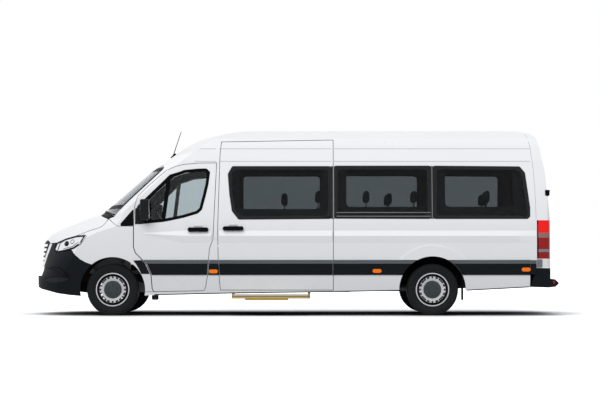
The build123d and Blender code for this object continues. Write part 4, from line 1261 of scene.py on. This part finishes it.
# %% Bumper lines
for side, label in SIDES:
    line = [(NOSE + back, z) for back, z in ((0.237, 0.649), (0.381, 0.649), (0.436, 0.615), (0.519, 0.511))]
    groove = strip(f"bumper_groove_{label}", line, 0.022, side, 0.03)
    lay_on(groove, ["front_bumper"], side, proud=0.0006, thick=0.001)
    add_piece(groove, "vehicle", frame_black, "bumper_plastic")
    shape = [(NOSE + back, z) for back, z in ((0.168, 0.472), (0.230, 0.500), (0.340, 0.511), (0.440, 0.510),
                                              (0.519, 0.498), (0.460, 0.462), (0.370, 0.444), (0.250, 0.446))]
    band = plate(f"bumper_band_{label}", shape, side, parts=4)
    lay_on(band, ["front_bumper"], side, proud=0.0006, thick=0.001)
    add_piece(band, "vehicle", band_grey, "bumper_plastic")
print("bumper lines placed")

# %% [markdown]
# A blank plate sits low in the middle of the bumper, and another on the left rear door. A plate stays flat on a curved
# bumper, so it isn't laid on point by point: the nearest of a few rays sets its depth, and a deeper holder fills the
# space behind it.

# %% Blank plates
PLATES = (("front_plate", FRONT, ["front_bumper"], "vehicle", corners(-0.260, 0.412, 0.260, 0.522)),
          ("rear_plate", REAR, ["rear_door_left"], "rear_door_left", corners(-0.640, 1.050, -0.120, 1.162)))
for name, view, under, body, shape in PLATES:
    towards = LOOKS[view][1]
    holder = plate(f"{name}_holder", rounded(drawn_in(shape, -0.010), 0.014), view)
    face = plate(name, rounded(shape, 0.010), view)
    middle = (shape[0][0] + shape[1][0]) / 2
    spots = [Vector(LOOKS[view][0](middle + y, z)) for y in (-0.2, 0, 0.2) for z in (shape[0][1], shape[2][1])]
    nearest = min(meets(spot, towards, under) for spot in spots)
    for piece, proud, thick in ((holder, -0.010, 0.0115), (face, 0.0015, 0.0010)):
        for vertex in piece.data.vertices:
            vertex.co += towards * (nearest - proud)
        outwards = piece.data.polygons[0].normal.dot(towards) < 0
        modify(piece, "SOLIDIFY", thickness=thick, offset=1.0 if outwards else -1.0)
        outward(piece)
    add_piece(holder, body, trim_black, "bumper_plastic")
    add_piece(face, body, plate_white, "bumper_plastic")
print("blank plates:", len(PLATES))

# %% [markdown]
# A shallow swage runs along the flanks below the windows. It is a net of three rows: its top and bottom rows lie on
# the panel, and the middle one is drawn out, so light catches the slope above it. That slope is also painted a lighter
# white, a painted highlight. A bump could shade it, but would leave no edge on the open door. Each panel has its own
# length, so that the doors can swing.

# %% Swage
SWAGE = (1.146, 1.075, 0.985)
SWAGE_MIDDLE = 1.110
SWAGE_RISE = 0.011
SWAGE_FRONT, SWAGE_REAR = -2.090, 3.258
GROWS_OVER = 0.6
SWAGE_RUNS = (
    # name, side, panel, body, from, to
    ("door_left", NEAR, "front_door_left", "front_door_left", SWAGE_FRONT, -1.128),
    ("door_right", FAR, "front_door_right", "front_door_right", SWAGE_FRONT, -1.128),
    ("slider", NEAR, "sliding_door", "vehicle", -1.022, 0.505),
    ("side_left", NEAR, "body_side_left", "vehicle", 0.532, SWAGE_REAR),
    ("side_right", FAR, "body_side_right", "vehicle", -1.085, SWAGE_REAR),
)


def swage_share(x):
    """How much of its full height the swage has this far along."""
    return min(1, 0.04 + (x - SWAGE_FRONT) / GROWS_OVER)


for name, side, panel, body, first, last in SWAGE_RUNS:
    count = max(2, round((last - first) / 0.06))
    columns = [first + (last - first) * i / count for i in range(count + 1)]
    rows = [[(x, SWAGE_MIDDLE + (z - SWAGE_MIDDLE) * swage_share(x)) for x in columns] for z in SWAGE]
    swage = rows_of(f"swage_{name}", rows, side)
    lay_on(swage, [panel], side, proud=0.0003, thick=0.0005)
    for vertex in swage.data.vertices:
        middle = SWAGE_MIDDLE + (SWAGE[1] - SWAGE_MIDDLE) * swage_share(vertex.co.x)
        if abs(vertex.co.z - middle) < 0.001:
            ends = min((vertex.co.x - SWAGE_FRONT) / 0.5, (SWAGE_REAR - vertex.co.x) / 0.25, 1)
            vertex.co.y += side * SWAGE_RISE * max(ends, 0)
    add_piece(smooth(swage, 12), body, body_white, "body_paint")
    # The upper slope takes the lighter white, a painted highlight.
    paint(swage, swage_painted_highlight, lambda c, n: c.z > SWAGE[1] + (SWAGE_MIDDLE - SWAGE[1])
          * max(0, 1 - (c.x - SWAGE_FRONT) / GROWS_OVER))
print("swage lengths:", len(SWAGE_RUNS))

# %% [markdown]
# Fine grey lines mark the roof gutter, the crease under it and the seam of each rear corner pillar. On the real body
# they are folds a few millimetres deep. At this scale a thin line laid on the skin shades the same, and the CAD panel
# stays whole.

# %% Creases and seams
CREASES = (2.088, 2.260)
PILLAR_SEAM = ((3.142, 2.464), (3.169, 2.416), (3.193, 2.301), (3.216, 2.126), (3.235, 1.946), (3.252, 1.694),
               (3.262, 1.300))
for side, label in SIDES:
    runs = [(-1.360, -1.060), (-1.025, 0.505), (0.532, 3.200)] if side == NEAR else [(-1.360, 3.200)]
    for number, (first, last) in enumerate(runs):
        for level in CREASES:
            line = strip(f"crease_{label}_{number}_{round(level * 1000)}", ((first, level), (last - 0.01, level)),
                         0.006, side, 0.08)
            lay_on(line, [f"body_side_{label}", "roof", "sliding_door"], side, proud=0.0004, thick=0.0006)
            add_piece(line, "vehicle", crease_grey, "body_paint")
    split = strip(f"b_pillar_split_{label}", ((-1.094, 1.034), (-1.050, 1.034)), 0.005, side, 0.02)
    lay_on(split, [f"body_side_{label}"], side, proud=0.0004, thick=0.0006)
    add_piece(split, "vehicle", crease_grey, "body_paint")
    seam = strip(f"pillar_seam_{label}", PILLAR_SEAM, 0.005, side, 0.05)
    lay_on(seam, [f"body_side_{label}", "roof"], side, proud=0.0004, thick=0.0006)
    add_piece(seam, "vehicle", crease_grey, "body_paint")
print("creases drawn")

# %% [markdown]
# The handles have a thick rounded grip with a painted cap above it. The grip starts as a plate, is thickened out from
# the handle's CAD block and then bevelled, because a box would not follow the door's slope.

# %% Handle grips
GRIP_LENGTH, GRIP_HALF = 0.276, 0.029
GRIPS = [(f"front_door_{label}", side, f"front_door_trim_{label}", f"front_door_{label}", f"front_door_{label}",
          -1.443, 1.159) for side, label in SIDES]
GRIPS.append(("sliding_door", NEAR, "sliding_door_handle", "sliding_door", "vehicle", -0.970, 1.175))
for name, side, under, panel, body, first, level in GRIPS:
    shape = corners(first, level - GRIP_HALF, first + GRIP_LENGTH, level + GRIP_HALF)
    grip = plate(f"{name}_grip", rounded(shape, 0.027), side, parts=3)
    lay_on(grip, [under], side, proud=-0.013, thick=0.0155)
    modify(grip, "BEVEL", width=0.004, segments=2, limit_method="ANGLE")
    add_piece(smooth(grip, 40), body, frame_black, "door_trim")
    shape = corners(first + 0.080, level + 0.026, first + 0.196, level + 0.050)
    cap = plate(f"{name}_grip_cap", rounded(shape, 0.010), side)
    lay_on(cap, [panel], side, proud=0.0006, thick=0.022)
    add_piece(cap, body, crease_grey, "door_trim")
print("grips:", len(GRIPS))

# %% [markdown]
# The rear corner carries a black hinge cover, a grey block below the tail lamp, the lamp's black border and a red
# reflector on the bumper's end. They are one kind of thing, a small plate laid on its node, so a table lists them.

# %% Rear corner fittings
FITTINGS = (
    # name, node under it, outline, material, slot, thickness
    ("hinge_cover", "body_side", rounded(corners(3.388, 1.622, 3.448, 1.698), 0.014), frame_black, "door_trim",
     0.014),
    ("lamp_foot", "body_side", rounded(corners(3.266, 0.645, 3.343, 0.758), 0.010), rail_grey, "bumper_plastic",
     0.004),
    ("reflector", "rear_bumper", rounded(corners(3.488, 0.427, 3.515, 0.470), 0.006), lens_dark_red, "lamp_red",
     0.003),
    ("lamp_border", "tail_lamps", corners(3.272, 0.770, 3.290, 1.283), frame_black, "lamp_red", 0.001),
)
for side, label in SIDES:
    for name, under, shape, material, slot, thick in FITTINGS:
        piece = plate(f"{name}_{label}", shape, side, parts=2)
        lay_on(piece, [f"{under}_{label}" if under == "body_side" else under], side, proud=0.0008, thick=thick)
        add_piece(piece, "vehicle", material, slot)
print("rear corner fittings:", len(FITTINGS) * len(SIDES))

# %% [markdown]
# The rubbing band goes on over the front wing and ends in front of the rear bumper, and a dark line closes the sills.
# These lengths lie on panels whose CAD has no band of its own, so they are laid on in the same two greys.

# %% Band ends and sill lines
WING_BAND = ((-2.180, 0.742), (-2.066, 0.748), (-2.022, 0.703), (-1.958, 0.562), (-2.072, 0.562), (-2.100, 0.620),
             (-2.140, 0.690))
SILL_LINES = (((-1.900, 0.281), (-0.740, 0.306), (0.516, 0.323), (1.420, 0.339)), ((2.330, 0.341), (3.175, 0.386)))
for side, label in SIDES:
    wing_band = plate(f"wing_band_{label}", WING_BAND, side, parts=4)
    lay_on(wing_band, ["front_wings"], side, proud=0.0008, thick=0.004)
    add_piece(wing_band, "vehicle", bumper_grey, "bumper_plastic")
    # The upper strip is the lighter grey, a painted highlight.
    for name, low, high, material in (("low", 0.556, 0.700, bumper_grey), ("high", 0.700, 0.747, band_painted_highlight)):
        end_band = plate(f"band_end_{label}_{name}", corners(3.183, low, 3.262, high), side, parts=2)
        lay_on(end_band, [f"body_side_{label}"], side, proud=0.0006, thick=0.004)
        add_piece(end_band, "vehicle", material, "bumper_plastic")
    for number, line in enumerate(SILL_LINES):
        sill_line = strip(f"sill_line_{label}_{number}", line, 0.014, side, 0.08)
        lay_on(sill_line, [f"body_side_{label}"], side, proud=0.0005, thick=0.001)
        add_piece(sill_line, "vehicle", under_black, "bumper_plastic")
print("sill lines:", len(SILL_LINES) * len(SIDES))

# %% [markdown]
# Under the side step runs a slim rail, and a stubby bracket hangs behind the front wheel. Both start as boxes with
# rounded edges, and the bracket's foot is drawn in by scaling its lowest face.

# %% Step rail and bracket


def block(name, low, high, round_off=0.0, steps=3):
    """A box between two corners, with its edges rounded."""
    low, high = Vector(low), Vector(high)
    bpy.ops.object.select_all(action="DESELECT")
    bpy.ops.mesh.primitive_cube_add(size=1, location=(low + high) / 2)
    piece = bpy.context.object
    piece.scale = high - low
    settle(piece, name)
    if round_off:
        modify(piece, "BEVEL", width=round_off, segments=steps, limit_method="ANGLE")
        smooth(piece, 40)
    return piece


rail = block("step_rail", (-0.670, -1.078, 0.207), (-0.085, -1.040, 0.2285), 0.006)
add_piece(rail, "vehicle", step_gold, "step_paint")
bracket = block("sill_bracket", (-1.938, -0.900, 0.209), (-1.848, -0.850, 0.290), 0.008)
pick_faces(bracket, lambda c, n: n.z < -0.9)
bpy.ops.transform.resize(value=(0.75, 0.8, 1))
close_edit()
add_piece(bracket, "vehicle", under_black, "underbody")
print("step rail and bracket placed")

# %% [markdown]
# The windscreen's glue is hidden by a black printed band all the way round. The pane is curved and leans back, so its
# outline in the front view isn't known from the side. It is found by walking outwards along level lines until a ray no
# longer meets the pane.

# %% Windscreen band


def pane_edge(node, level, step=0.004):
    """How far from the middle this node reaches at one height, in the front view."""
    reach = 0.0
    while meets(Vector((-BEFORE, reach + step, level)), Vector((1, 0, 0)), [node]) is not None:
        reach += step
    return reach


SCREEN_LEVELS = [1.412 + 0.038 * i for i in range(17)]
BAND_SIDE, BAND_DEEP = 0.045, 0.055
halves = [pane_edge("windscreen", level) for level in SCREEN_LEVELS]
right = [(half - 0.003, level) for half, level in zip(halves, SCREEN_LEVELS) if half > 0.3]
across = [right[-1][0] * (1 - i / 10) for i in range(1, 20)]
top = [(y, right[-1][1] + 0.004) for y in across]
outer = [*right, *top, *((-y, level) for y, level in reversed(right))]
foot = [(-right[0][0] * (1 - i / 10), right[0][1]) for i in range(1, 20)]
outline = [*outer, *foot]
lowest, highest = right[0][1] + BAND_DEEP, right[-1][1] - BAND_DEEP
inner = []
for y, level in outline:
    inner.append((y - math.copysign(min(abs(y), BAND_SIDE), y), min(max(level, lowest), highest)))
band = rows_of("windscreen_band", ([*inner, inner[0]], [*outline, outline[0]]), FRONT, ring=True)
lay_on(band, ["windscreen"], FRONT, proud=0.0006, thick=0.0008)
add_piece(band, "vehicle", frame_black, "glass_clear")
print("windscreen band laid:", len(right), "levels")

# %% [markdown]
# The seats are padded. Each starts as a rounded block a little smaller than the finished pad. A subdivided box would
# do for one shape, but a voxel remesh makes the surface even whatever the profile, which cloth needs.
# A short cloth simulation with pressure inside then fills it out, and sewn channels are pressed in along its length.

# %% Making a pad
SEAT_VOXEL = 0.0125
PAD_FRAMES = 20


def pad_block(name, profile, half_width, round_off):
    """A rounded block from a four-cornered side profile: front low, front high, back high, back low."""
    piece = block(name, (-1, -1, -1), (1, 1, 1))
    places = {(-1, -1): profile[0], (-1, 1): profile[1], (1, 1): profile[2], (1, -1): profile[3]}
    for vertex in piece.data.vertices:
        x, z = places[(round(vertex.co.x), round(vertex.co.z))]
        vertex.co = (x, vertex.co.y * half_width, z)
    modify(piece, "BEVEL", width=round_off, segments=3, limit_method="ANGLE")
    modify(piece, "REMESH", mode="VOXEL", voxel_size=SEAT_VOXEL)
    return piece


def fill_out(piece, cap):
    """Fills a pad by cloth under pressure. No point moves farther than the cap."""
    before = [vertex.co.copy() for vertex in piece.data.vertices]
    activate(piece)
    cloth = piece.modifiers.new("Cloth", "CLOTH")
    cloth.settings.use_pressure = True
    cloth.settings.uniform_pressure_force = 4
    cloth.settings.effector_weights.gravity = 0
    for step_number in range(1, PAD_FRAMES + 1):
        scene.frame_set(step_number)
    bpy.ops.object.modifier_apply(modifier=cloth.name)
    scene.frame_set(1)
    for vertex, start in zip(piece.data.vertices, before):
        move = vertex.co - start
        if move.length > cap:
            vertex.co = start + move * (cap / move.length)
    return piece


def press_channels(piece, lines, depth):
    """Presses sewn channels into a pad along lines of constant y."""
    moves = []
    for vertex in piece.data.vertices:
        share = max(math.exp(-((vertex.co.y - line) / 0.010) ** 2) for line in lines)
        moves.append(vertex.normal * -depth * share)
    for vertex, move in zip(piece.data.vertices, moves):
        vertex.co += move
    return piece


print("pad helpers ready")

# %% [markdown]
# One seat is made in three parts, cushion, back and head restraint, with two steel posts under the restraint. The
# three pads are the masters: simulating each of the seventeen seats anew would take minutes and show no difference.

# %% The master seat


def rod(name, start, end, radius, sides=16):
    """A straight round bar between two points."""
    start, end = Vector(start), Vector(end)
    along = end - start
    bpy.ops.object.select_all(action="DESELECT")
    bpy.ops.mesh.primitive_cylinder_add(vertices=sides, radius=radius, depth=along.length, location=(start + end) / 2)
    piece = bpy.context.object
    piece.rotation_mode = "QUATERNION"
    piece.rotation_quaternion = along.to_track_quat("Z", "Y")
    return smooth(settle(piece, name), 50)


SEAT_PARTS = (
    # name, profile, half width, rounding, cap, channels, fill
    ("cushion", ((0.012, 0.012), (0.010, 0.104), (0.418, 0.080), (0.424, 0.012)), 0.208, 0.030, 0.011,
     (-0.125, 0.125), 0.8),
    ("back", ((0.446, 0.108), (0.524, 0.545), (0.590, 0.545), (0.512, 0.028)), 0.206, 0.026, 0.011,
     (-0.120, 0.120), 0.8),
    ("head", ((0.512, 0.608), (0.534, 0.768), (0.590, 0.768), (0.598, 0.608)), 0.122, 0.022, 0.009, (0.0,), 0.9),
)
seat_masters = []
for name, profile, half_width, round_off, cap, channels, fill in SEAT_PARTS:
    pad = fill_out(pad_block(f"seat_{name}_master", profile, half_width, round_off), cap)
    press_channels(pad, channels, 0.005 if name != "head" else 0.0)
    seat_masters.append((name, smooth(pad, 60), fill))
posts = rod("seat_posts_master", (0.556, -0.055, 0.520), (0.563, -0.055, 0.640), 0.006)
other = rod("seat_post_other", (0.556, 0.055, 0.520), (0.563, 0.055, 0.640), 0.006)
activate(posts, other)
bpy.ops.object.join()
print("seat masters:", len(seat_masters))

# %% [markdown]
# The saloon has single seats along one side and pairs along the other, and the cab has three. Every copy has its own
# mesh.

# %% Rows of seats
SALOON_ROWS = ((-0.600, (3.335, 3.990, 4.645, 5.640)), (0.600, (2.861, 3.601, 4.341, 5.081, 5.705)),
               (0.150, (2.861, 3.601, 4.341, 5.081, 5.705)))
seat_places = [("saloon", (NOSE + back, across, 0.930)) for across, row in SALOON_ROWS for back in row]
seat_places += [("cab", (NOSE + 1.850, across, 0.900)) for across in (0.420, -0.160, -0.620)]
seat_pads = {"saloon": [], "cab": []}
for number, (zone, spot) in enumerate(seat_places):
    for name, pad, fill in seat_masters:
        copy = copied(pad, f"{zone}_seat_{number}_{name}", spot)
        add_piece(copy, "vehicle", seat_fabric, "seat_fabric")
        seat_pads[zone].append(copy)
    copy = copied(posts, f"{zone}_seat_{number}_posts", spot)
    add_piece(copy, "vehicle", rail_grey, "underbody")
for _, pad, _ in seat_masters:
    bpy.data.objects.remove(pad)
bpy.data.objects.remove(posts)
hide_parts("saloon_seats")
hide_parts("front_seats")
print("seats:", len(seat_places))
